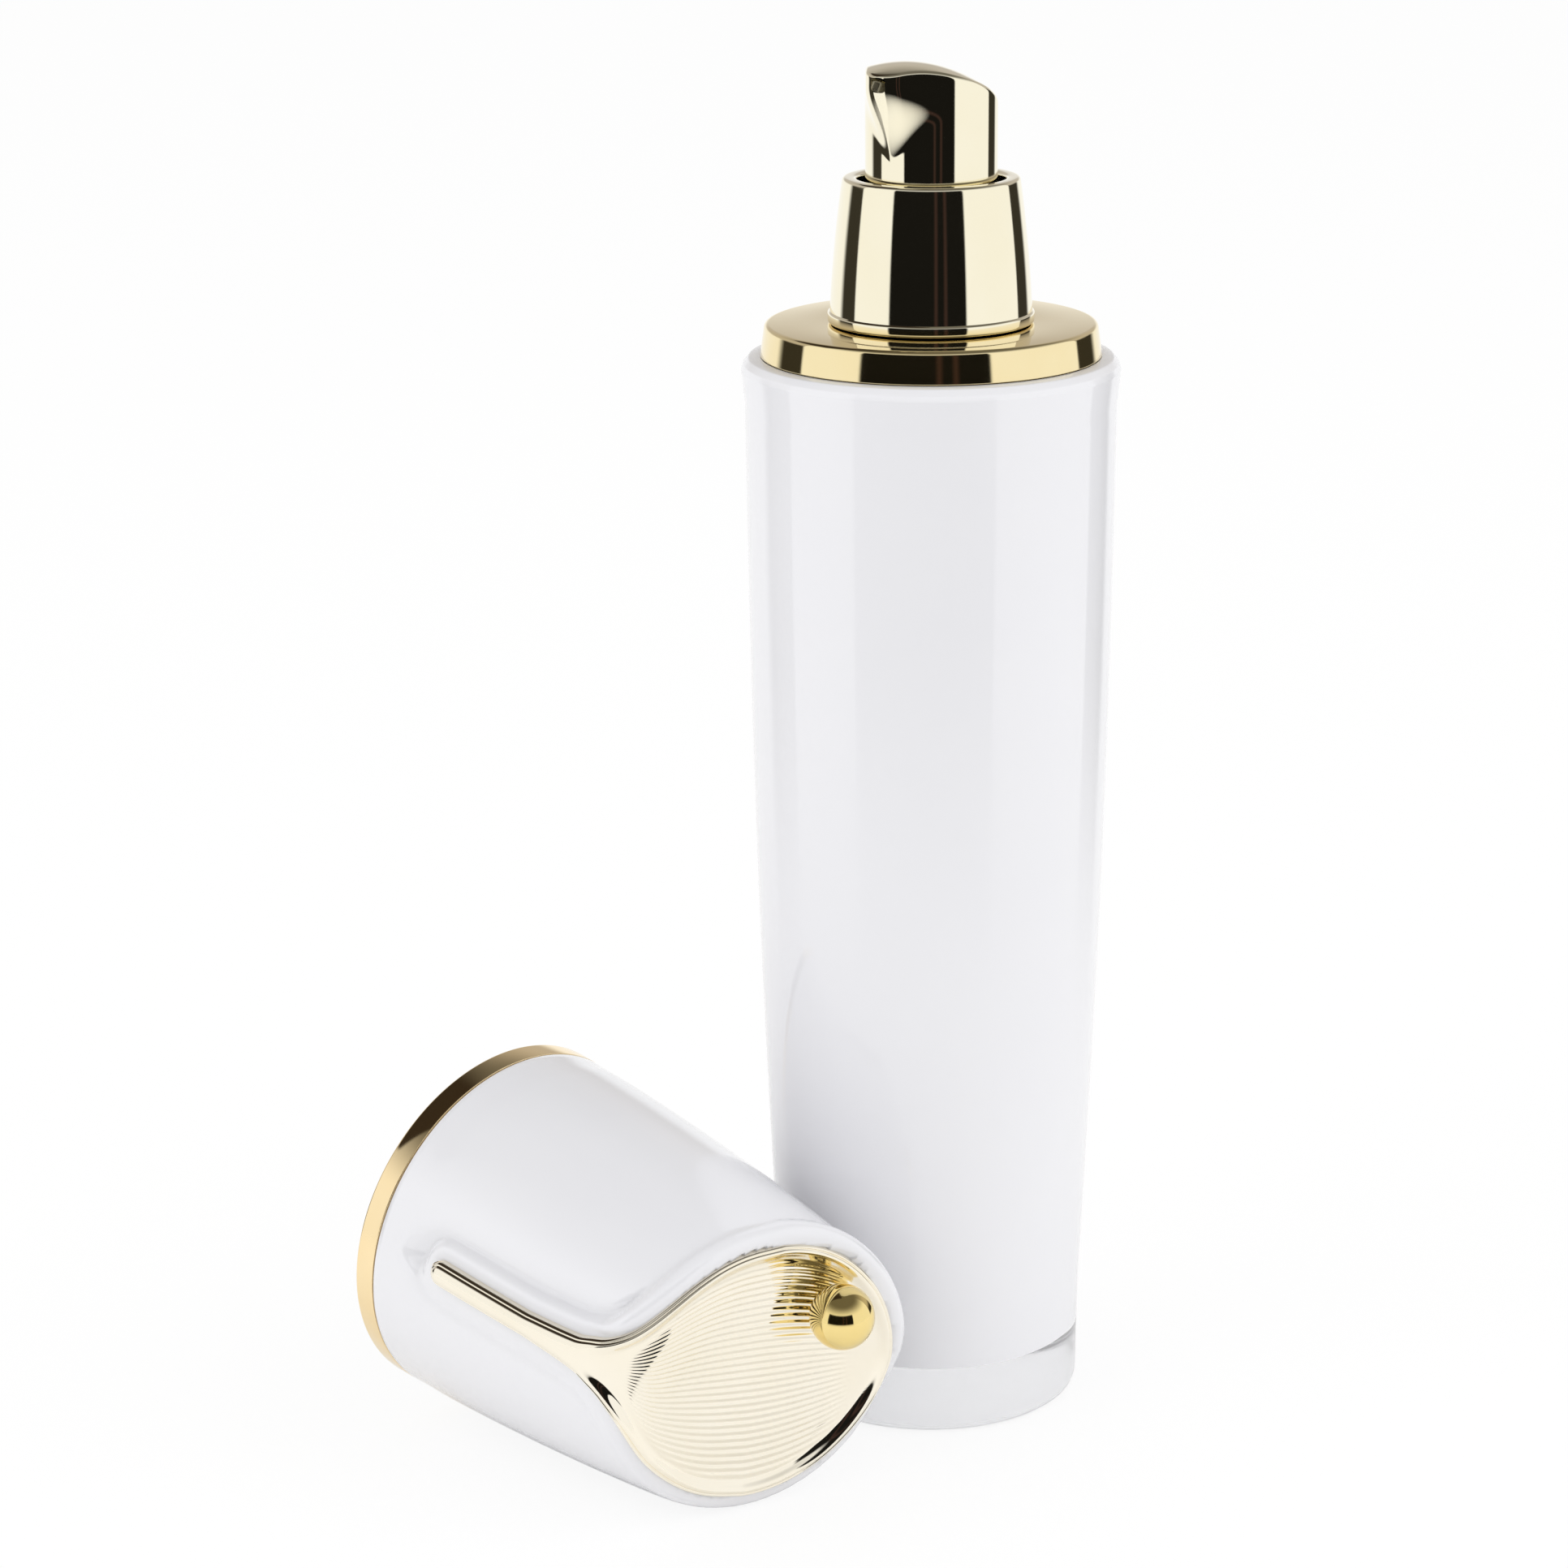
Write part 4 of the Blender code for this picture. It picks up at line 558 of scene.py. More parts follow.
def teardrop(off_nose):
    """Radius of the outline from above: the circle, a straight flank or the tip."""
    off = abs(off_nose)
    if off > FLANK_TURN:
        return HEAD_RADIUS
    if off > TIP_TURN:
        return HEAD_RADIUS / math.cos(FLANK_TURN - off)
    return NOSE_CENTRE * math.cos(off) + math.sqrt(NOSE_TIP_RADIUS ** 2 - (NOSE_CENTRE * math.sin(off)) ** 2)


def head_radius(off_nose, height):
    """Radius of the side: teardrop above, circle below, and a slanted underside between."""
    share = min(abs(off_nose) / FLANK_TURN, 1)
    under_top = HEAD_TOP - UNDER_START - UNDER_SLANT * share
    tall = UNDER_FLANK_HEIGHT + (UNDER_TIP_HEIGHT - UNDER_FLANK_HEIGHT) * (1 - share) ** UNDER_FALL
    return HEAD_RADIUS + (teardrop(off_nose) - HEAD_RADIUS) * (1 - ramp((under_top - height) / tall))


def head_column(off_nose):
    """Points (radius, height) up the side, over the edge and along the crown."""
    edge = head_radius(off_nose, HEAD_TOP)
    top = crown(edge, off_nose) - EDGE_ROUND
    heights = np.linspace(HEAD_BOTTOM + FOOT_BEVEL, top, SIDE_ROWS)
    column = [(head_radius(off_nose, z), z) for z in heights]
    for k in range(1, EDGE_STEPS + 1):
        angle = math.pi / 2 * k / EDGE_STEPS
        r = edge - EDGE_ROUND * (1 - math.cos(angle))
        column.append((r, crown(r, off_nose) - EDGE_ROUND * (1 - math.sin(angle))))
    rim = column[-1][0]
    shares = [1 - k / CROWN_STEPS for k in range(1, CROWN_STEPS)]
    return column + [(rim * share, crown(rim * share, off_nose)) for share in shares]


print("crown over the axis, mm:", round(crown(0, 0), 2))
print("a flank leaves the circle at, deg:", round(math.degrees(FLANK_TURN)))

# %% [markdown]
# The grid is closed underneath by a small bevel and a hollow for the inner part.
# The orifice is cut last, with a Boolean: a rounded square channel that slopes up to
# the nose, so that its edge stays crisp on the mirror skin. The white insert keeps
# its solid's form, but its tube ends deeper, in the channel's dark.

# %% Head: skin, hollow and orifice
HOLLOW_RADIUS, HOLLOW_TOP = 7.05, 161.3
NOSE_SIDE_DEG = 36
MOUTH_DROP = 2.25
CHANNEL_SLOPE = math.radians(17)
CHANNEL_AXIS = Vector((math.cos(NOSE_AZIMUTH) * math.cos(CHANNEL_SLOPE),
                       math.sin(NOSE_AZIMUTH) * math.cos(CHANNEL_SLOPE), math.sin(CHANNEL_SLOPE)))
CHANNEL_HALF_WIDE, CHANNEL_HALF_HIGH = 1.05, 0.85
CHANNEL_DEPTH, PAST_THE_NOSE = 4.5, 3.0
CHANNEL_SIDES, CHANNEL_ROUNDNESS = 40, 0.55
TUBE_SETBACK, TUBE_ZONE = 2.6, 4
mouth = Vector((math.cos(NOSE_AZIMUTH), math.sin(NOSE_AZIMUTH), 0)) * (HEAD_RADIUS + NOSE_REACH)
mouth.z = HEAD_TOP - MOUTH_DROP


def head_mesh():
    """The closed skin: columns are closer together round the nose."""
    near = np.radians(np.linspace(-NOSE_SIDE_DEG, NOSE_SIDE_DEG, 97))[:-1]
    far = np.radians(np.linspace(NOSE_SIDE_DEG, 360 - NOSE_SIDE_DEG, 121))[:-1]
    under = [(HOLLOW_RADIUS, HOLLOW_TOP), (HOLLOW_RADIUS, HEAD_BOTTOM),
             (HEAD_RADIUS - FOOT_BEVEL, HEAD_BOTTOM)]
    bm = bmesh.new()
    columns = []
    for off_nose in [*near, *far]:
        wrapped = (off_nose + math.pi) % math.tau - math.pi
        angle = NOSE_AZIMUTH + off_nose
        columns.append([bm.verts.new((r * MM * math.cos(angle), r * MM * math.sin(angle), z * MM))
                        for r, z in under + head_column(wrapped)])
    ceiling = bm.verts.new((0, 0, HOLLOW_TOP * MM))
    peak = bm.verts.new((0, 0, crown(0, 0) * MM))
    for this, following in zip(columns, columns[1:] + columns[:1]):
        for i in range(len(this) - 1):
            bm.faces.new((this[i], following[i], following[i + 1], this[i + 1]))
        bm.faces.new((this[0], ceiling, following[0]))
        bm.faces.new((this[-1], following[-1], peak))
    bmesh.ops.recalc_face_normals(bm, faces=bm.faces)
    return written(bm, bpy.data.meshes.new("head_skin"))


def channel_cutter():
    """A rounded square bar along the sloping channel, with its end past the nose."""
    across = CHANNEL_AXIS.cross(Vector((0, 0, 1))).normalized()
    high = across.cross(CHANNEL_AXIS)
    bm = bmesh.new()
    rings = []
    for run in (-CHANNEL_DEPTH, PAST_THE_NOSE):
        rings.append([])
        for k in range(CHANNEL_SIDES):
            cosine, sine = math.cos(math.tau * k / CHANNEL_SIDES), math.sin(math.tau * k / CHANNEL_SIDES)
            x = math.copysign(abs(cosine) ** CHANNEL_ROUNDNESS, cosine) * CHANNEL_HALF_WIDE
            y = math.copysign(abs(sine) ** CHANNEL_ROUNDNESS, sine) * CHANNEL_HALF_HIGH
            rings[-1].append(bm.verts.new((mouth + CHANNEL_AXIS * run + across * x + high * y) * MM))
    for k in range(CHANNEL_SIDES):
        following = (k + 1) % CHANNEL_SIDES
        bm.faces.new((rings[0][k], rings[0][following], rings[1][following], rings[1][k]))
    bm.faces.new(rings[0])
    bm.faces.new(rings[1])
    bmesh.ops.recalc_face_normals(bm, faces=bm.faces)
    return written(bm, bpy.data.meshes.new("channel_cutter"))


def cut(mesh, tool_mesh):
    """Take one closed mesh out of another with an exact Boolean."""
    whole, tool = new_object("to_cut", mesh), new_object("tool", tool_mesh)
    modifier = whole.modifiers.new("cut", "BOOLEAN")
    modifier.object, modifier.operation, modifier.solver = tool, "DIFFERENCE", "EXACT"
    result = bpy.data.meshes.new_from_object(whole.evaluated_get(bpy.context.evaluated_depsgraph_get()))
    bpy.data.objects.remove(whole)
    bpy.data.objects.remove(tool)
    return result


insert_mesh = nodes["actuator_insert"].data.copy()
for vert in insert_mesh.vertices:
    past = (vert.co / MM - mouth).dot(CHANNEL_AXIS) + TUBE_SETBACK
    if past > 0 and vert.co.z / MM > HEAD_TOP - TUBE_ZONE:
        vert.co -= CHANNEL_AXIS * past * MM
insert = show("actuator_insert_fine", insert_mesh, white_pump, 40)
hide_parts("actuator_insert")
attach(insert, "head")
head = show("actuator_shell_fine", cut(head_mesh(), channel_cutter()), gold_sleeve, 38)
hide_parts("actuator_shell")
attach(head, "head")

# %% [markdown]
# The cap is a cone that an oblique face cuts off. A gold spoon lies on it: its
# handle runs down the side, bends over the edge and opens into a bowl on the
# face. All of that follows one curve in the cap's middle plane: straight down the
# side, round the bend, straight across the face. A sheet swept sideways from such
# a curve can be unrolled flat, so the spoon's outline is drawn flat, as a width for
# every distance along the curve, and then rolled back on.

# %% Cap: its side and its frame
CAP_LENGTH = 57.0
CAP_MOUTH_RADIUS = 23.1
CAP_END_RADIUS = 17.5
CAP_BELLY = 0.93
FACE_TILT = math.radians(14.7)
LYING_YAW, LYING_TILT, LYING_ROLL = math.radians(-44.2), math.radians(8), math.radians(-95.5)
MOUTH_X, MOUTH_Y = -55.9, -6.4


def cap_side(height):
    return barrel(height / CAP_LENGTH, CAP_MOUTH_RADIUS, CAP_END_RADIUS, CAP_BELLY)


def cap_matrix():
    """The cap's own frame, laid on its side beside the bottle."""
    turned = Matrix.Rotation(LYING_YAW, 4, "Z") @ Matrix.Rotation(math.pi / 2 + LYING_TILT, 4, "Y")
    turned = turned @ Matrix.Rotation(LYING_ROLL, 4, "Z")
    heights = np.linspace(0, CAP_LENGTH, 61)
    rest = max(z * math.sin(LYING_TILT) + cap_side(z) * math.cos(LYING_TILT) for z in heights)
    return Matrix.Translation(Vector((MOUTH_X, MOUTH_Y, rest)) * MM) @ turned


laid_down = cap_matrix()
print("cap's mouth centre, mm:", [round(v / MM, 1) for v in laid_down.translation])

# %% [markdown]
# The curve is kept as many short pieces, each with its distance from the neck of
# the spoon, where the handle ends and the bowl begins. The direction into the cap
# goes with it, so any point can be named by three numbers: how far along, how far
# sideways and how deep. The curve's corner lies over the side, whose radius there
# depends on the corner's height, so that height is worked out in passes.

# %% Cap: the spoon's curve
FACE_HEIGHT = 49.7
SHEET_GAP = 1.0
HANDLE_FROM = 4.0
BEND_REACH = 7.7
CORNER_PASSES = 30


def spoon_curve():
    """Points (outward, up) of the curve, and the distance along it at each."""
    height = FACE_HEIGHT
    for _ in range(CORNER_PASSES):
        height = FACE_HEIGHT - math.tan(FACE_TILT) * (cap_side(height) + SHEET_GAP)
    corner = np.array((cap_side(height) + SHEET_GAP, height))
    handle = [(cap_side(z) + SHEET_GAP, z) for z in np.linspace(HANDLE_FROM, height - BEND_REACH, 24)]
    start = np.array(handle[-1])
    over_face = np.array((-math.cos(FACE_TILT), math.sin(FACE_TILT)))
    end = corner + over_face * BEND_REACH
    shares = np.linspace(0, 1, 26)[1:]
    bend = [start * (1 - t) ** 2 + corner * 2 * t * (1 - t) + end * t * t for t in shares]
    face = [end + over_face * distance for distance in (12, 24, 36, 48)]
    points = np.array([*handle, *bend, *face])
    runs = np.concatenate([[0], np.cumsum(np.linalg.norm(np.diff(points, axis=0), axis=1))])
    return points, runs - runs[len(handle) - 1]


curve_points, curve_runs = spoon_curve()
steps = np.diff(curve_points, axis=0)
steps /= np.linalg.norm(steps, axis=1)[:, None]
tangents = np.vstack([steps[:1], (steps[1:] + steps[:-1]) / 2, steps[-1:]])
tangents /= np.linalg.norm(tangents, axis=1)[:, None]


def on_sheet(run, sideways, depth):
    """Points in the cap's frame from distance along, sideways place and depth."""
    x, z, tx, tz = (np.interp(run, curve_runs, values)
                    for values in (*curve_points.T, *tangents.T))
    size = np.hypot(tx, tz)
    return np.stack([x - tz / size * depth, sideways + 0 * x, z + tx / size * depth], -1)


def to_sheet(points):
    """Distance along the curve and depth under it, of points in the cap's frame."""
    flat = points[..., [0, 2]].reshape(-1, 1, 2)
    a, b = curve_points[:-1], curve_points[1:]
    span = b - a
    share = np.clip(((flat - a) * span).sum(-1) / (span ** 2).sum(-1), 0, 1)
    gap = flat - (a + share[..., None] * span)
    nearest = np.argmin((gap ** 2).sum(-1), axis=1)
    row = np.arange(len(nearest))
    off, along = gap[row, nearest], span[nearest]
    away = np.hypot(off[:, 0], off[:, 1])
    side_sign = np.sign(-along[:, 1] * off[:, 0] + along[:, 0] * off[:, 1])
    run = curve_runs[nearest] + share[row, nearest] * np.linalg.norm(along, axis=1)
    return run.reshape(points.shape[:-1]), (away * side_sign).reshape(points.shape[:-1])


print("curve from", round(curve_runs[0], 1), "to", round(curve_runs[-1], 1), "mm")

# %% [markdown]
# The outline of the spoon, unrolled: a handle 3.2 mm wide that leans a little to
# one side, a neck that opens, and a bowl nearly 34 mm across. The handle's tip is
# a half circle. The distance of any flat point to this outline then drives both
# the gold plate inside it and the white lip outside it.

# %% Cap: the spoon's outline, unrolled
TIP_RUN, BOWL_END, WIDEST = -23.9, 45.1, 26.2
HANDLE_HALF, BOWL_HALF, BOWL_FULLNESS = 1.6, 16.9, 0.58
NECK_LEAN, HANDLE_LEAN, LEAN_ENDS = 1.7, 1.1, 12
RUN_SHARES = (-0.3, 0.0, 0.08, 0.16, 0.27, 0.435, 0.565, 0.69, 0.82, 1.0)
WIDTH_SHARES = (0.0, 0.045, 0.088, 0.147, 0.29, 0.577, 0.752, 0.876, 0.954, 1.0)


def half_width(run):
    if run > WIDEST:
        beyond = (run - WIDEST) / (BOWL_END - WIDEST)
        return BOWL_HALF * max(1 - beyond * beyond, 0) ** BOWL_FULLNESS
    widening = table(RUN_SHARES, WIDTH_SHARES, max(run / WIDEST, RUN_SHARES[0]))
    return HANDLE_HALF + (BOWL_HALF - HANDLE_HALF) * widening


def lean(run):
    """How far the middle of the outline lies to one side."""
    return -(NECK_LEAN + HANDLE_LEAN * max(run / TIP_RUN, 0)) * (1 - ramp(run / LEAN_ENDS))


def outline():
    """The outline as a closed loop of flat points, evenly spaced."""
    start = TIP_RUN + HANDLE_HALF
    quarter = np.linspace(0, math.pi / 2, 160)[1:]
    runs = [*np.linspace(start, WIDEST, 200), *(WIDEST + (BOWL_END - WIDEST) * np.sin(quarter))]
    upper = [(r, lean(r) + half_width(r)) for r in runs]
    lower = [(r, lean(r) - half_width(r)) for r in reversed(runs)]
    turns = np.linspace(-math.pi / 2, math.pi / 2, 24)[1:-1]
    tip = [(start - HANDLE_HALF * math.cos(a), lean(start) + HANDLE_HALF * math.sin(a)) for a in turns]
    loop = np.array([*upper, *lower[1:], *tip, upper[0]])
    length = np.concatenate([[0], np.cumsum(np.linalg.norm(np.diff(loop, axis=0), axis=1))])
    even = np.linspace(0, length[-1], 421)[:-1]
    points = np.stack([np.interp(even, length, loop[:, k]) for k in (0, 1)], -1)
    return np.vstack([points, points[:1]])


border = outline()
print("outline length, mm:", round(float(np.linalg.norm(np.diff(border, axis=0), axis=1).sum()), 1))

# %% [markdown]
# The distance to the outline drives everything on the face. It is exact for the
# gold plate, whose edge must be clean. For the white body it is needed hundreds of
# thousands of times, so there it is worked out once on a fine flat grid and then
# read by interpolation: negative inside the spoon, positive outside.

# %% Cap: a map of the distance to the outline
MAP_STEP = 0.25
map_runs = np.arange(-34, 62, MAP_STEP)
map_sides = np.arange(-27, 27, MAP_STEP)


def edge_distance(flat):
    """Exact distance of flat points to the outline."""
    a, span = border[:-1], np.diff(border, axis=0)
    share = np.clip(((flat[:, None] - a) * span).sum(-1) / (span ** 2).sum(-1), 0, 1)
    gap = flat[:, None] - (a + share[..., None] * span)
    return np.sqrt((gap ** 2).sum(-1)).min(1)


def distance_map():
    """The distance on the grid: inside, a ray crosses the outline an odd number of times."""
    a, b = border[:-1], border[1:]
    out = np.empty((len(map_runs), len(map_sides)))
    for i, run in enumerate(map_runs):
        flat = np.stack([np.full(len(map_sides), run), map_sides], -1)
        crossing = (a[:, 1] > flat[:, 1:]) != (b[:, 1] > flat[:, 1:])
        rise = np.where(b[:, 1] == a[:, 1], 1e-9, b[:, 1] - a[:, 1])
        cross_run = a[:, 0] + (flat[:, 1:] - a[:, 1]) / rise * (b[:, 0] - a[:, 0])
        inside = (crossing & (run < cross_run)).sum(1) % 2 == 1
        away = edge_distance(flat)
        out[i] = np.where(inside, -away, away)
    return out


outside_map = distance_map()


def outside_by(run, sideways):
    """Distance outside the spoon's outline of flat points."""
    x = np.clip((run - map_runs[0]) / MAP_STEP, 0, len(map_runs) - 1.001)
    y = np.clip((sideways - map_sides[0]) / MAP_STEP, 0, len(map_sides) - 1.001)
    i, j = x.astype(int), y.astype(int)
    fx, fy = x - i, y - j
    return (outside_map[i, j] * (1 - fx) * (1 - fy) + outside_map[i + 1, j] * fx * (1 - fy)
            + outside_map[i, j + 1] * (1 - fx) * fy + outside_map[i + 1, j + 1] * fx * fy)


print("deepest inside the bowl, mm:", round(float(-outside_map.min()), 1))

# %% [markdown]
# The white body of the cap is where two shapes overlap: the cone, and everything
# under the spoon's sheet. Outside the gold the sheet makes a raised white lip, then
# a soft valley, beyond which it climbs and the cone takes over. Two distances are
# mixed with a soft maximum, so every edge comes out rounded, as on a moulding. A
# soft minimum adds a welt, a round bead of white that hugs the bowl's upper side.

# %% Cap: the rule of its white body
NECK_SPAN = (-2.0, 9.0)
UPPER_SPAN = (-3.4, -0.6)
HIDDEN_SPAN, HIDDEN_DEPTH = (-1.9, -0.5), 2.6
PLAIN_CONE_SPAN = (5.0, 9.0)
LIP_DEPTH, LIP_RISE = 1.25, 0.65
VALLEY_AT, VALLEY_SLOPE, VALLEY_DEPTH, VALLEY_AT_BOWL = 2.7, 1.3, 1.75, 0.25
LOWER_VALLEY = 0.1
CLIMB, CLIMB_AT_BOWL = 0.6, 0.3
EDGE_SOFTNESS, EDGE_SETBACK = 0.9, 0.12
WELT_OUT, WELT_DEPTH, WELT_RADIUS, WELT_SOFTNESS = 1.15, 1.85, 1.3, 0.3
WELT_GROWS, WELT_FADES = (0.0, 7.0), (-5.0, 9.0)
LONGEST_RAY, HALVINGS = 48.0, 24


def lip_depth(run):
    """How deep the white lip lies under the sheet: less round the bowl."""
    return LIP_DEPTH - LIP_RISE * ramp(run, *NECK_SPAN)


def sheet_depth(run, sideways, out):
    """Depth of the white under the sheet, by the distance outside the spoon."""
    bowl = ramp(run, *NECK_SPAN)
    upper = LOWER_VALLEY + (1 - LOWER_VALLEY) * (1 - ramp(sideways, *UPPER_SPAN))
    hidden = HIDDEN_DEPTH * (1 - ramp(out, *HIDDEN_SPAN))
    valley = (VALLEY_DEPTH + VALLEY_AT_BOWL * bowl) * upper * ramp(out, VALLEY_AT - VALLEY_SLOPE, VALLEY_AT)
    climb = (CLIMB + CLIMB_AT_BOWL * bowl) * np.maximum(out - VALLEY_AT, 0)
    return lip_depth(run) + hidden + valley - climb


def white_body(points):
    """Signed distance outside the cap's white body."""
    run, depth = to_sheet(points)
    sideways = points[..., 1]
    cone = np.hypot(points[..., 0], sideways) - cap_side(points[..., 2])
    out = outside_by(run, sideways)
    under = sheet_depth(run, sideways, out) - depth
    both = 0.5 * (cone + under + np.sqrt((cone - under) ** 2 + EDGE_SOFTNESS ** 2))
    both -= EDGE_SOFTNESS * EDGE_SETBACK
    grown = ramp(run, *WELT_GROWS) * (1 - ramp(sideways, *WELT_FADES))
    welt = np.hypot(out - WELT_OUT, depth - WELT_DEPTH) - WELT_RADIUS * grown
    both = 0.5 * (both + welt - np.sqrt((both - welt) ** 2 + WELT_SOFTNESS ** 2))
    return cone + (both - cone) * ramp(points[..., 2], *PLAIN_CONE_SPAN)


def cast(start, directions):
    """Where rays from inside points leave the white body."""
    near, far = np.zeros(directions.shape[:-1]), np.full(directions.shape[:-1], LONGEST_RAY)
    for _ in range(HALVINGS):
        middle = (near + far) / 2
        inside = white_body(start + directions * middle[..., None]) < 0
        near, far = np.where(inside, middle, near), np.where(inside, far, middle)
    return start + directions * near[..., None]


lip_place = (np.array(20.0), np.array(-17.0), np.array(0.5))
print("depth of the white at the lip, mm:", round(float(sheet_depth(*lip_place)), 2))

# %% [markdown]
# The skin is a grid of rows round the axis: the rows climb the side at equal
# heights, then fan over the face from a point inside. They are close enough to
# carry the lip and the valley. The hollow for the liner is the same grid
# continued inside, so that the wall is one closed body.

# %% Cap: the white body
ROUND = 400
CAP_WALL = 2.2
LEDGE, LEDGE_BEVEL = 3.1, 0.15
DOME_FROM, HOLLOW_END = 31.5, 41.6
HEART_HEIGHT = 27.0
STEEPEST_DEG = 89.2


def grid_mesh(name, rows, closed_ring, start_pole=None, end_pole=None):
    """A mesh from rows of points in mm, with optional poles at its ends."""
    rows = np.asarray(rows)
    count, across = rows.shape[:2]
    verts = rows.reshape(-1, 3)
    last = across if closed_ring else across - 1
    pairs = [(j, (j + 1) % across) for j in range(last)]
    faces = []
    for i in range(count - 1):
        this, following = i * across, (i + 1) * across
        faces += [(this + j, this + k, following + k, following + j) for j, k in pairs]
    for pole, row in ((start_pole, 0), (end_pole, count - 1)):
        if pole is not None:
            verts = np.vstack([verts, [pole]])
            faces += [(len(verts) - 1, row * across + j, row * across + k) for j, k in pairs]
    mesh = bpy.data.meshes.new(name)
    mesh.from_pydata((verts * MM).tolist(), [], faces)
    return mesh


def dome(rim, low, high):
    """Points of a soft dome from a rim radius up to the axis."""
    shares = ((0.985, 0.2), (0.93, 0.48), (0.77, 0.8), (0.5, 0.95), (0.25, 0.99))
    return [(rim * s, low + (high - low) * h) for s, h in shares]


angles = np.linspace(0, math.tau, ROUND + 1)[:-1]
level = np.stack([np.cos(angles), np.sin(angles), 0 * angles], -1)
hollow = [(cap_side(z) - CAP_WALL, z) for z in np.linspace(LEDGE, DOME_FROM, 10)]
hollow += dome(hollow[-1][0], DOME_FROM, HOLLOW_END)
rows = [level * r + [0, 0, z] for r, z in reversed(hollow)]
rows.append(level * (cap_side(LEDGE) - LEDGE_BEVEL) + [0, 0, LEDGE])
heights = (LEDGE + LEDGE_BEVEL, *np.linspace(4, HEART_HEIGHT, 48))
rows += [cast(np.array([0, 0, z]), level) for z in heights]
heart = np.array([0, 0, HEART_HEIGHT])
for tilt in np.radians(np.linspace(0, STEEPEST_DEG, 136))[1:]:
    rows.append(cast(heart, level * math.cos(tilt) + [0, 0, math.sin(tilt)]))
face_pole = cast(heart[None], np.array([[0, 0, 1.0]]))[0]
body_mesh = grid_mesh("cap_body", rows, True, np.array([0, 0, HOLLOW_END]), face_pole)
body = show("cap_outer_fine", body_mesh, white_cap, 80)
body.data.transform(laid_down)
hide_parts("cap_outer")
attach(body, "cap")

# %% [markdown]
# The gold spoon is a plated pressing. Its rim is a rounded bead, its middle is a
# shallow bowl, and the bowl is covered with fine ribs that run its length, each a
# constant share of the way across. The grid of the mesh follows the same shares, so
# the ribs can be raised by a tree of nodes that reads three attributes: the share
# across, the distance to the edge and the distance along.

# %% Spoon: the smooth pressing
ACROSS = 361
END_INSET = 0.02
ROLL_WIDTH, ROLL_LESS, ROLL_SPAN = 1.5, 0.6, (-2.0, 8.0)
EDGE_ABOVE_LIP = 0.12
GROOVE_AT, GROOVE_WIDTH, GROOVE_DEPTH = 0.42, 0.11, 0.16
BEVEL_SPAN, BEVEL_RUN_SPAN, BEVEL_DEPTH = (0.7, 2.1), (1.0, 7.0), 0.75
BOWL_FROM, BOWL_FALL, BOWL_RUN_SPAN, BOWL_DEPTH = 1.8, 9.0, (5.0, 20.0), 0.9


def spoon_grid():
    """Flat points in rows across the spoon, and the share across of each column."""
    quarter, more = np.linspace(0, math.pi / 2, 12), np.linspace(0, math.pi / 2, 96)[1:]
    runs = np.concatenate([TIP_RUN + END_INSET + HANDLE_HALF * (1 - np.cos(quarter)),
                           np.linspace(TIP_RUN + HANDLE_HALF, WIDEST, 150)[1:],
                           WIDEST + (BOWL_END - END_INSET - WIDEST) * np.sin(more)])
    dense = np.sin(np.linspace(-math.pi / 2, math.pi / 2, ACROSS))
    shares = 0.5 * dense + 0.5 * np.linspace(-1, 1, ACROSS)
    flat = []
    for run in runs:
        half = half_width(run)
        into_tip = run - TIP_RUN
        if into_tip < HANDLE_HALF:
            half = math.sqrt(max(HANDLE_HALF ** 2 - (HANDLE_HALF - into_tip) ** 2, 1e-4))
        flat.append(np.stack([np.full(ACROSS, run), lean(run) + half * shares], -1))
    return np.array(flat), shares


def spoon_height(run, inside):
    """Depth of the gold under the sheet: rounded border, groove, bevel and shallow bowl."""
    roll = ROLL_WIDTH - ROLL_LESS * ramp(run, *ROLL_SPAN)
    edge = 1 - np.sqrt(np.maximum(1 - (1 - np.clip(inside / roll, 0, 1)) ** 2, 0))
    groove = GROOVE_DEPTH * np.exp(-((inside - GROOVE_AT) / GROOVE_WIDTH) ** 2)
    bevel = BEVEL_DEPTH * ramp(inside, *BEVEL_SPAN) * ramp(run, *BEVEL_RUN_SPAN)
    fall = np.clip((inside - BOWL_FROM) / BOWL_FALL, 0, 1)
    bowl = BOWL_DEPTH * ramp(run, *BOWL_RUN_SPAN) * (1 - (1 - fall) ** 2.2)
    return (lip_depth(run) - EDGE_ABOVE_LIP) * edge + groove + bevel + bowl


flat, shares = spoon_grid()
inside = np.array([edge_distance(row) for row in flat])
inside[:, 0] = inside[:, -1] = 0
inside[0] = inside[-1] = 0
pressed = spoon_height(flat[..., 0], inside)
print("spoon grid:", flat.shape[:2])

# %% [markdown]
# The ribs: in the tree, the share across times the bowl's half width gives a place
# in millimetres at the widest part. A wave of that place, at the ribs' pitch, lifts
# each point along its normal. The lift fades out at the rim, towards the neck and
# towards the far end, as on the pressing. Pitch and height are named inputs.

# %% Spoon: ribs by Geometry Nodes
RIB_PITCH = 0.95
RIB_HEIGHT = 0.07
RIB_SIZES = {"Rib Pitch": RIB_PITCH, "Rib Height": RIB_HEIGHT, "Bowl Half Width": BOWL_HALF,
             "Rim Width": 1.6, "Fade From": 6, "Fade To": 41}
FULL_FROM_RIM, FULL_FROM, FULL_TO = 4 * MM, 12 * MM, 34 * MM
PLATE_THICK, DEEPEST_RIM = 0.7, 1.8


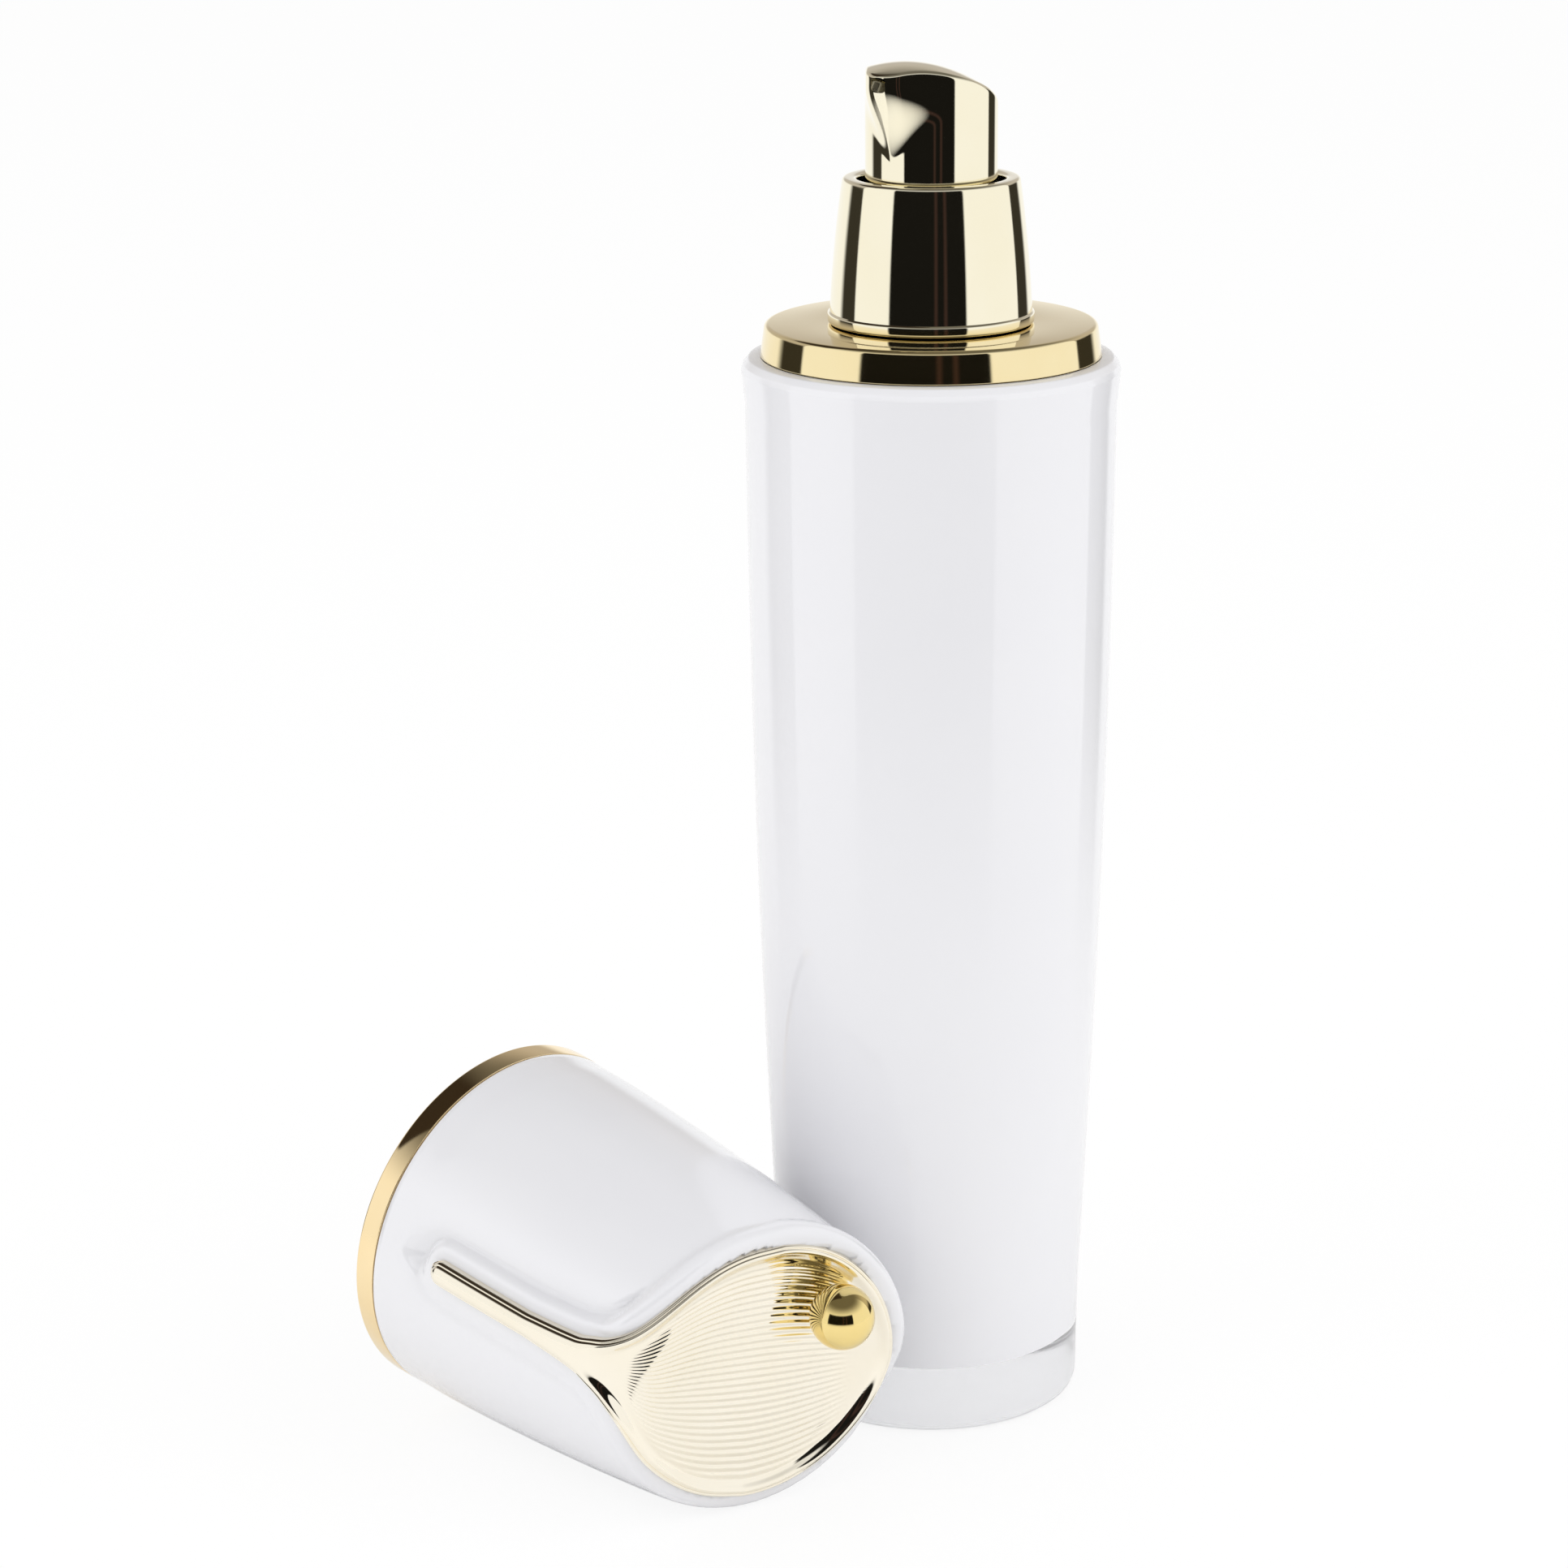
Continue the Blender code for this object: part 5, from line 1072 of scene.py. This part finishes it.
def rib_tree():
    kinds = {name: "Float" for name in RIB_SIZES}
    tree, given = new_tree("ribbed_bowl", {"Pressing": "Geometry", **kinds, "Finish": "Material"}, "Ribbed")
    named = {}
    for name in ("share", "edge", "run"):
        reader = add(tree, "GeometryNodeInputNamedAttribute", {"Name": name}, data_type="FLOAT")
        named[name] = reader.outputs[0]
    place = named["share"]
    for value, operation in ((given["Bowl Half Width"], "MULTIPLY"), (given["Rib Pitch"], "DIVIDE"),
                             (math.tau, "MULTIPLY")):
        place = add(tree, "ShaderNodeMath", {0: place, 1: value}, operation=operation).outputs[0]
    shaped = add(tree, "ShaderNodeMath", {0: place}, operation="COSINE").outputs[0]
    factors = [given["Rib Height"]]
    for value, low, high, before, after in (
            (named["edge"], given["Rim Width"], FULL_FROM_RIM, 0.0, 1.0),
            (named["run"], given["Fade From"], FULL_FROM, 0.0, 1.0),
            (named["run"], FULL_TO, given["Fade To"], 1.0, 0.0)):
        fade = add(tree, "ShaderNodeMapRange",
                   {"Value": value, "From Min": low, "From Max": high, "To Min": before, "To Max": after},
                   interpolation_type="SMOOTHSTEP")
        factors.append(fade.outputs[0])
    for factor in factors:
        shaped = add(tree, "ShaderNodeMath", {0: shaped, 1: factor}, operation="MULTIPLY").outputs[0]
    normal = add(tree, "GeometryNodeInputNormal").outputs[0]
    lift = add(tree, "ShaderNodeVectorMath", {0: normal, "Scale": shaped}, operation="SCALE")
    moved = add(tree, "GeometryNodeSetPosition", {"Geometry": given["Pressing"], "Offset": lift.outputs[0]})
    return end_tree(tree, moved.outputs[0], given["Finish"], "Ribbed")


pressing = grid_mesh("spoon_draft", on_sheet(flat[..., 0], flat[..., 1], pressed), False)
attributes = {"share": np.tile(shares, len(flat)), "edge": inside.ravel() * MM,
              "run": flat[..., 0].ravel() * MM}
for name, values in attributes.items():
    pressing.attributes.new(name, "FLOAT", "POINT").data.foreach_set("value", values.astype(np.float32))
rib_inputs = {name: size * MM for name, size in RIB_SIZES.items()}
ribbed = plain_mesh(pressing, rib_tree(), {**rib_inputs, "Finish": gold_ornament})
under = on_sheet(flat[..., 0], flat[..., 1], np.maximum(pressed + PLATE_THICK, DEEPEST_RIM))
print("ribs across the bowl:", round(2 * BOWL_HALF / RIB_PITCH))

# %% [markdown]
# The pressing gets an underside and a side wall, so that it is one closed body,
# and is rolled onto the cap with the rest. The underside is hidden, so it keeps
# only every twenty-fourth column of the grid, and the piece stays light.

# %% Spoon: closing the body
UNDER_STEP = 24


def close_spoon(top_mesh, under_points):
    bm = bmesh.new()
    bm.from_mesh(top_mesh)
    bm.verts.ensure_lookup_table()
    count, across = under_points.shape[:2]
    top = [[bm.verts[i * across + j] for j in range(across)] for i in range(count)]
    low = [[bm.verts.new(p) for p in row] for row in (under_points[:, ::UNDER_STEP] * MM).tolist()]
    strips = range(len(low[0]) - 1)
    for i in range(count - 1):
        for j in strips:
            bm.faces.new((low[i][j], low[i][j + 1], low[i + 1][j + 1], low[i + 1][j]))
        bm.faces.new((top[i][-1], top[i + 1][-1], low[i + 1][-1], low[i][-1]))
        bm.faces.new((top[i + 1][0], top[i][0], low[i][0], low[i + 1][0]))
    for i, direction in ((0, 1), (count - 1, -1)):
        for j in strips:
            wall = top[i][j * UNDER_STEP:(j + 1) * UNDER_STEP + 1] + [low[i][j + 1], low[i][j]]
            bm.faces.new(wall[::direction])
    return written(bm, top_mesh)


spoon = show("ornament_plate_fine", close_spoon(ribbed, under), gold_ornament, 60)
spoon.data.transform(laid_down)
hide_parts("ornament_plate")
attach(spoon, "cap")

# %% [markdown]
# The rest of the cap is turned on the lathe and laid down with the same matrix: the
# gold ring round the mouth, the white liner inside, and the gold bead on its pin.
# The bead stands on the face, so it is tilted with it first.

# %% Cap: rim ring, liner and bead
RIM_BORE, RIM_HEIGHT = 21.3, 2.95
LINER_SETBACK, LINER_WALL, LINER_LOW, LINER_END = 2.5, 1.0, 6.0, 41.3
BALL_RADIUS, BALL_HEIGHT = 4.0, 2.6
PIN_RADIUS, PIN_DEPTH = 0.9, 2.2
BALL_X, BALL_Y = -7.0, -8.0
profile = rounded([(RIM_BORE, 1.4), (RIM_BORE, 0, 0.2), (cap_side(0), 0, 0.3),
                   (cap_side(RIM_HEIGHT), RIM_HEIGHT, 0.1), (RIM_BORE, RIM_HEIGHT, 0.1),
                   (RIM_BORE, 1.4)])[:-1]
rim_ring = turn("cap_rim_ring_fine", profile, gold_rim, segments=224)
outer = [(cap_side(z) - LINER_SETBACK, z) for z in np.linspace(LINER_LOW, DOME_FROM, 14)]
inner = [(r - LINER_WALL, z) for r, z in outer]
inner_end = LINER_END - LINER_WALL
profile = [(0, LINER_END), *reversed(dome(outer[-1][0], DOME_FROM, LINER_END)), *reversed(outer), *inner,
           *dome(inner[-1][0], DOME_FROM, inner_end), (0, inner_end)]
liner = turn("cap_liner_fine", profile, white_liner, segments=160)
turns = np.radians(np.linspace(-38, 89, 48))
ball = [(BALL_RADIUS * math.cos(a), BALL_HEIGHT + BALL_RADIUS * math.sin(a)) for a in turns]
profile = [(0, -PIN_DEPTH), (PIN_RADIUS, -PIN_DEPTH), (PIN_RADIUS, 0.1), *ball,
           (0, BALL_HEIGHT + BALL_RADIUS)]
bead = turn("ornament_bead_fine", profile, gold_bead, segments=128)
ball_foot = Vector((BALL_X, BALL_Y, FACE_HEIGHT - math.tan(FACE_TILT) * BALL_X)) * MM
bead.data.transform(Matrix.Translation(ball_foot) @ Matrix.Rotation(FACE_TILT, 4, "Y"))
for piece, node, slot in ((rim_ring, "cap_rim_ring", "gold_rim"), (liner, "cap_liner", "white_liner"),
                          (bead, "ornament_bead", "gold_ornament")):
    piece.data.transform(laid_down)
    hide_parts(node)
    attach(piece, "cap")

# %% [markdown]
# The pump's inner pieces keep their solids, with the finishes that such parts
# have: natural polypropylene for the mouldings, a soft grey gasket, and steel for
# the spring and the balls. The steel is drawn or ground, so it is less of a mirror
# than the gold.

# %% Finishes of the inner pieces
STREAK_MM = 0.8


def plain_steel(name, colour, roughness):
    """Steel with fine streaks in its roughness."""
    return new_finish(name, {"Base Color": linear(colour), "Metallic": 1.0},
                      wear=(STREAK_MM, 2.0, 0.0, 1.0, roughness * 0.7, roughness * 1.4))


spring_steel = plain_steel("drawn_spring_steel", "#C4C4C6", 0.25)
ball_steel = plain_steel("ground_ball_steel", "#CFCFD2", 0.12)
gasket_foam = moulded_white("grey_gasket_foam", "#B4B4B6", "#A6A6A8", 0.7, peel=0.4)
natural = moulded_white("natural_polypropylene", "#E9EBEA", "#DFE2E0", 0.3)
inner_finishes = {white_pump: ("screw_closure",), gasket_foam: ("neck_gasket",),
                  spring_steel: ("return_spring",), ball_steel: ("inlet_ball", "outlet_ball"),
                  natural: ("pump_housing", "lock_collar", "dip_tube", "piston", "piston_seat", "stem")}
for finish, names in inner_finishes.items():
    for name in names:
        for place in nodes[name].material_slots:
            place.material = finish
print("kept solids:", sum(len(names) for names in inner_finishes.values()))

# %% [markdown]
# The studio: a pale floor that runs out of view, a white room, and in front of the
# object the dark side of the room where the camera stands. Mirror gold shows that
# room more than its own colour, so the room is drawn in the world by direction:
# bright at the sides, dark in front, half bright above and behind. It is painted in
# layers. Each fade reads an angle or the height of a direction, fades multiplied
# give a layer's place, and a later layer covers the earlier ones. Mirrored rays see
# the room in full. Plain rays see it mixed into white by a third, so that painted
# colours stay as written, and faces that look to the dark side are a shade darker.

# %% World: a white room with a dark front
WHITE = linear("#FFFFFF")
ROOM_IN_PLAIN, PLAIN_STRENGTH = 0.3, 1.06
FOLDS = {"off_front": ("azimuth", -6), "off_rear": ("azimuth", 8), "off_strips": ("azimuth", 9),
         "off_strip": ("off_strips", 5.5)}
FADES = {"front": ("off_front", 43, 46, 1.0, 0.0), "under_front_top": ("height", 0.40, 0.48, 1.0, 0.0),
         "rear": ("off_rear", 105, 108, 0.0, 1.0), "beside_rear": ("off_rear", 128, 138, 1.0, 0.0),
         "over_table": ("height", 0.05, 0.25, 0.0, 1.0), "zenith": ("height", 0.35, 0.85, 0.0, 1.0),
         "left": ("azimuth", -88, -91, 0.0, 1.0), "left_end": ("azimuth", -180, -146, 0.0, 1.0),
         "left_high": ("height", 0.57, 0.61, 0.0, 1.0)}
LAYERS = {"rear corners": (("rear", "beside_rear"), "#37342C"),
          "back wall": (("over_table", "rear"), "#C2BCB6"),
          "ceiling": (("zenith",), "#6E6B64"),
          "dark door on the left": (("left", "left_end", "left_high"), "#362E26"),
          "dark front": (("front", "under_front_top"), "#171614")}
STRIP_BROWN = linear("#3A2B27")
STRIP_EDGE = (math.radians(0.5), math.radians(3))


def place_readings(tree):
    """Azimuth and height of the direction, and how far it is from some azimuths."""
    direction = add(tree, "ShaderNodeTexCoord").outputs["Generated"]
    part = add(tree, "ShaderNodeSeparateXYZ", {"Vector": direction}).outputs
    toward = add(tree, "ShaderNodeMath", {0: part["Y"], 1: -1.0}, operation="MULTIPLY")
    azimuth = add(tree, "ShaderNodeMath", {0: part["X"], 1: toward.outputs[0]}, operation="ARCTAN2")
    reading = {"azimuth": azimuth.outputs[0], "height": part["Z"]}
    for name, (source, middle_deg) in FOLDS.items():
        off = add(tree, "ShaderNodeMath", {0: reading[source], 1: math.radians(middle_deg)},
                  operation="SUBTRACT")
        reading[name] = add(tree, "ShaderNodeMath", {0: off.outputs[0]}, operation="ABSOLUTE").outputs[0]
    return reading


def room_colour(tree):
    """The room in its colours, painted layer over layer."""
    reading = place_readings(tree)
    fade = {}
    for name, (source, low, high, before, after) in FADES.items():
        limits = (low, high) if source == "height" else (math.radians(low), math.radians(high))
        fade[name] = add(tree, "ShaderNodeMapRange",
                         {"Value": reading[source], "From Min": limits[0], "From Max": limits[1],
                          "To Min": before, "To Max": after}, interpolation_type="SMOOTHSTEP").outputs[0]
    strips = add(tree, "ShaderNodeMapRange", {"Value": reading["off_strip"], "From Min": STRIP_EDGE[0],
                                              "From Max": STRIP_EDGE[1], "To Min": 1.0, "To Max": 0.0})
    colour = WHITE
    for name, (fades, code) in LAYERS.items():
        paint = linear(code)
        if name == "dark front":
            paint = add(tree, "ShaderNodeMix", {"Factor": strips.outputs[0], "A": paint, "B": STRIP_BROWN},
                        data_type="RGBA").outputs[2]
        share = fade[fades[0]]
        for other in fades[1:]:
            share = add(tree, "ShaderNodeMath", {0: share, 1: fade[other]}, operation="MULTIPLY").outputs[0]
        colour = add(tree, "ShaderNodeMix", {"Factor": share, "A": colour, "B": paint},
                     data_type="RGBA").outputs[2]
    return colour


def room():
    world = bpy.data.worlds.new("studio_room")
    world.use_nodes = True
    tree = world.node_tree
    tree.nodes.clear()
    colour = room_colour(tree)
    path = add(tree, "ShaderNodeLightPath").outputs
    even = add(tree, "ShaderNodeMix", {"Factor": ROOM_IN_PLAIN, "A": WHITE, "B": colour}, data_type="RGBA")
    plain = add(tree, "ShaderNodeBackground", {"Color": even.outputs[2], "Strength": PLAIN_STRENGTH})
    white = add(tree, "ShaderNodeBackground", {"Color": WHITE, "Strength": 1.0})
    gloss = add(tree, "ShaderNodeBackground", {"Color": colour, "Strength": 1.0})
    seen = add(tree, "ShaderNodeMath", {0: path["Is Camera Ray"], 1: path["Is Transmission Ray"]},
               operation="MAXIMUM")
    lit = add(tree, "ShaderNodeMixShader", {0: path["Is Glossy Ray"], 1: plain.outputs[0],
                                            2: gloss.outputs[0]})
    last = add(tree, "ShaderNodeMixShader", {0: seen.outputs[0], 1: lit.outputs[0], 2: white.outputs[0]})
    add(tree, "ShaderNodeOutputWorld", {"Surface": last.outputs[0]})
    return world


bpy.context.scene.world = room()
print("world:", bpy.context.scene.world.name, "painted in", len(LAYERS), "layers")

# %% [markdown]
# The floor is one disc of pale card. Near the object every ray sees it. For
# mirrored rays it fades out with distance, so the gold sees the dark front of the
# room past it, as it did in the studio, where the table was small. For the eye it is
# mostly lit white of strength 1, with the object's shadow kept in the rest.

# %% Floor and soft lamps
FIBRE_MM = 1000 / 60
FLOOR_RADIUS, FLOOR_SINK = 9.0, 0.2 * MM
FLOOR_GLOW = 0.88
TABLE_FADE = (0.12, 0.4)
LAMP_SIZE, LAMP_WATTS = 0.9, 3.0
LAMPS = {"soft_left": (-0.9, -0.5, 0.8), "soft_right": (0.9, -0.3, 0.9)}
LAMP_TARGET = Vector((-0.02, 0, 0.08))


def floor_finish():
    """Pale card that glows for the eye and ends early for mirrored rays."""
    made = new_finish("pale_floor_card", {"Roughness": 1.0, "Specular IOR Level": 0.0},
                      clouds=(FIBRE_MM, 3.0, "#FFFFFF", "#FDFDFD"))
    tree = made.node_tree
    card = tree.nodes["Principled BSDF"].outputs[0]
    path = add(tree, "ShaderNodeLightPath").outputs
    seen = add(tree, "ShaderNodeMath", {0: path["Is Camera Ray"], 1: path["Is Transmission Ray"]},
               operation="MAXIMUM")
    share = add(tree, "ShaderNodeMath", {0: seen.outputs[0], 1: FLOOR_GLOW}, operation="MULTIPLY")
    white = add(tree, "ShaderNodeEmission", {"Color": WHITE, "Strength": 1.0})
    both = add(tree, "ShaderNodeMixShader", {0: share.outputs[0], 1: card, 2: white.outputs[0]})
    place = add(tree, "ShaderNodeTexCoord").outputs["Object"]
    distance = add(tree, "ShaderNodeVectorMath", {0: place}, operation="LENGTH")
    far = add(tree, "ShaderNodeMapRange", {"Value": distance.outputs["Value"], "From Min": TABLE_FADE[0],
                                           "From Max": TABLE_FADE[1]}, interpolation_type="SMOOTHSTEP")
    gone = add(tree, "ShaderNodeMath", {0: far.outputs[0], 1: path["Is Glossy Ray"]}, operation="MULTIPLY")
    clear = add(tree, "ShaderNodeBsdfTransparent")
    last = add(tree, "ShaderNodeMixShader", {0: gone.outputs[0], 1: both.outputs[0], 2: clear.outputs[0]})
    tree.links.new(last.outputs[0], tree.nodes["Material Output"].inputs["Surface"])
    return made


bm = bmesh.new()
bmesh.ops.create_circle(bm, cap_ends=True, segments=128, radius=FLOOR_RADIUS,
                        matrix=Matrix.Translation((0, 0, -FLOOR_SINK)))
floor = new_object("floor", written(bm, bpy.data.meshes.new("floor")))
floor.data.materials.append(floor_finish())

for name, place in LAMPS.items():
    light = bpy.data.lights.new(name, "AREA")
    light.size, light.energy = LAMP_SIZE, LAMP_WATTS
    lamp = new_object(name, light)
    lamp.location = place
    lamp.rotation_euler = (LAMP_TARGET - lamp.location).to_track_quat("-Z", "Y").to_euler()
    lamp.visible_glossy = False
print("floor across, m:", 2 * FLOOR_RADIUS, "lamps:", list(LAMPS))

# %% [markdown]
# The picture is shown with the Standard view, so that a colour leaves the render as it was written.

# %% View
bpy.context.scene.view_settings.view_transform = "Standard"
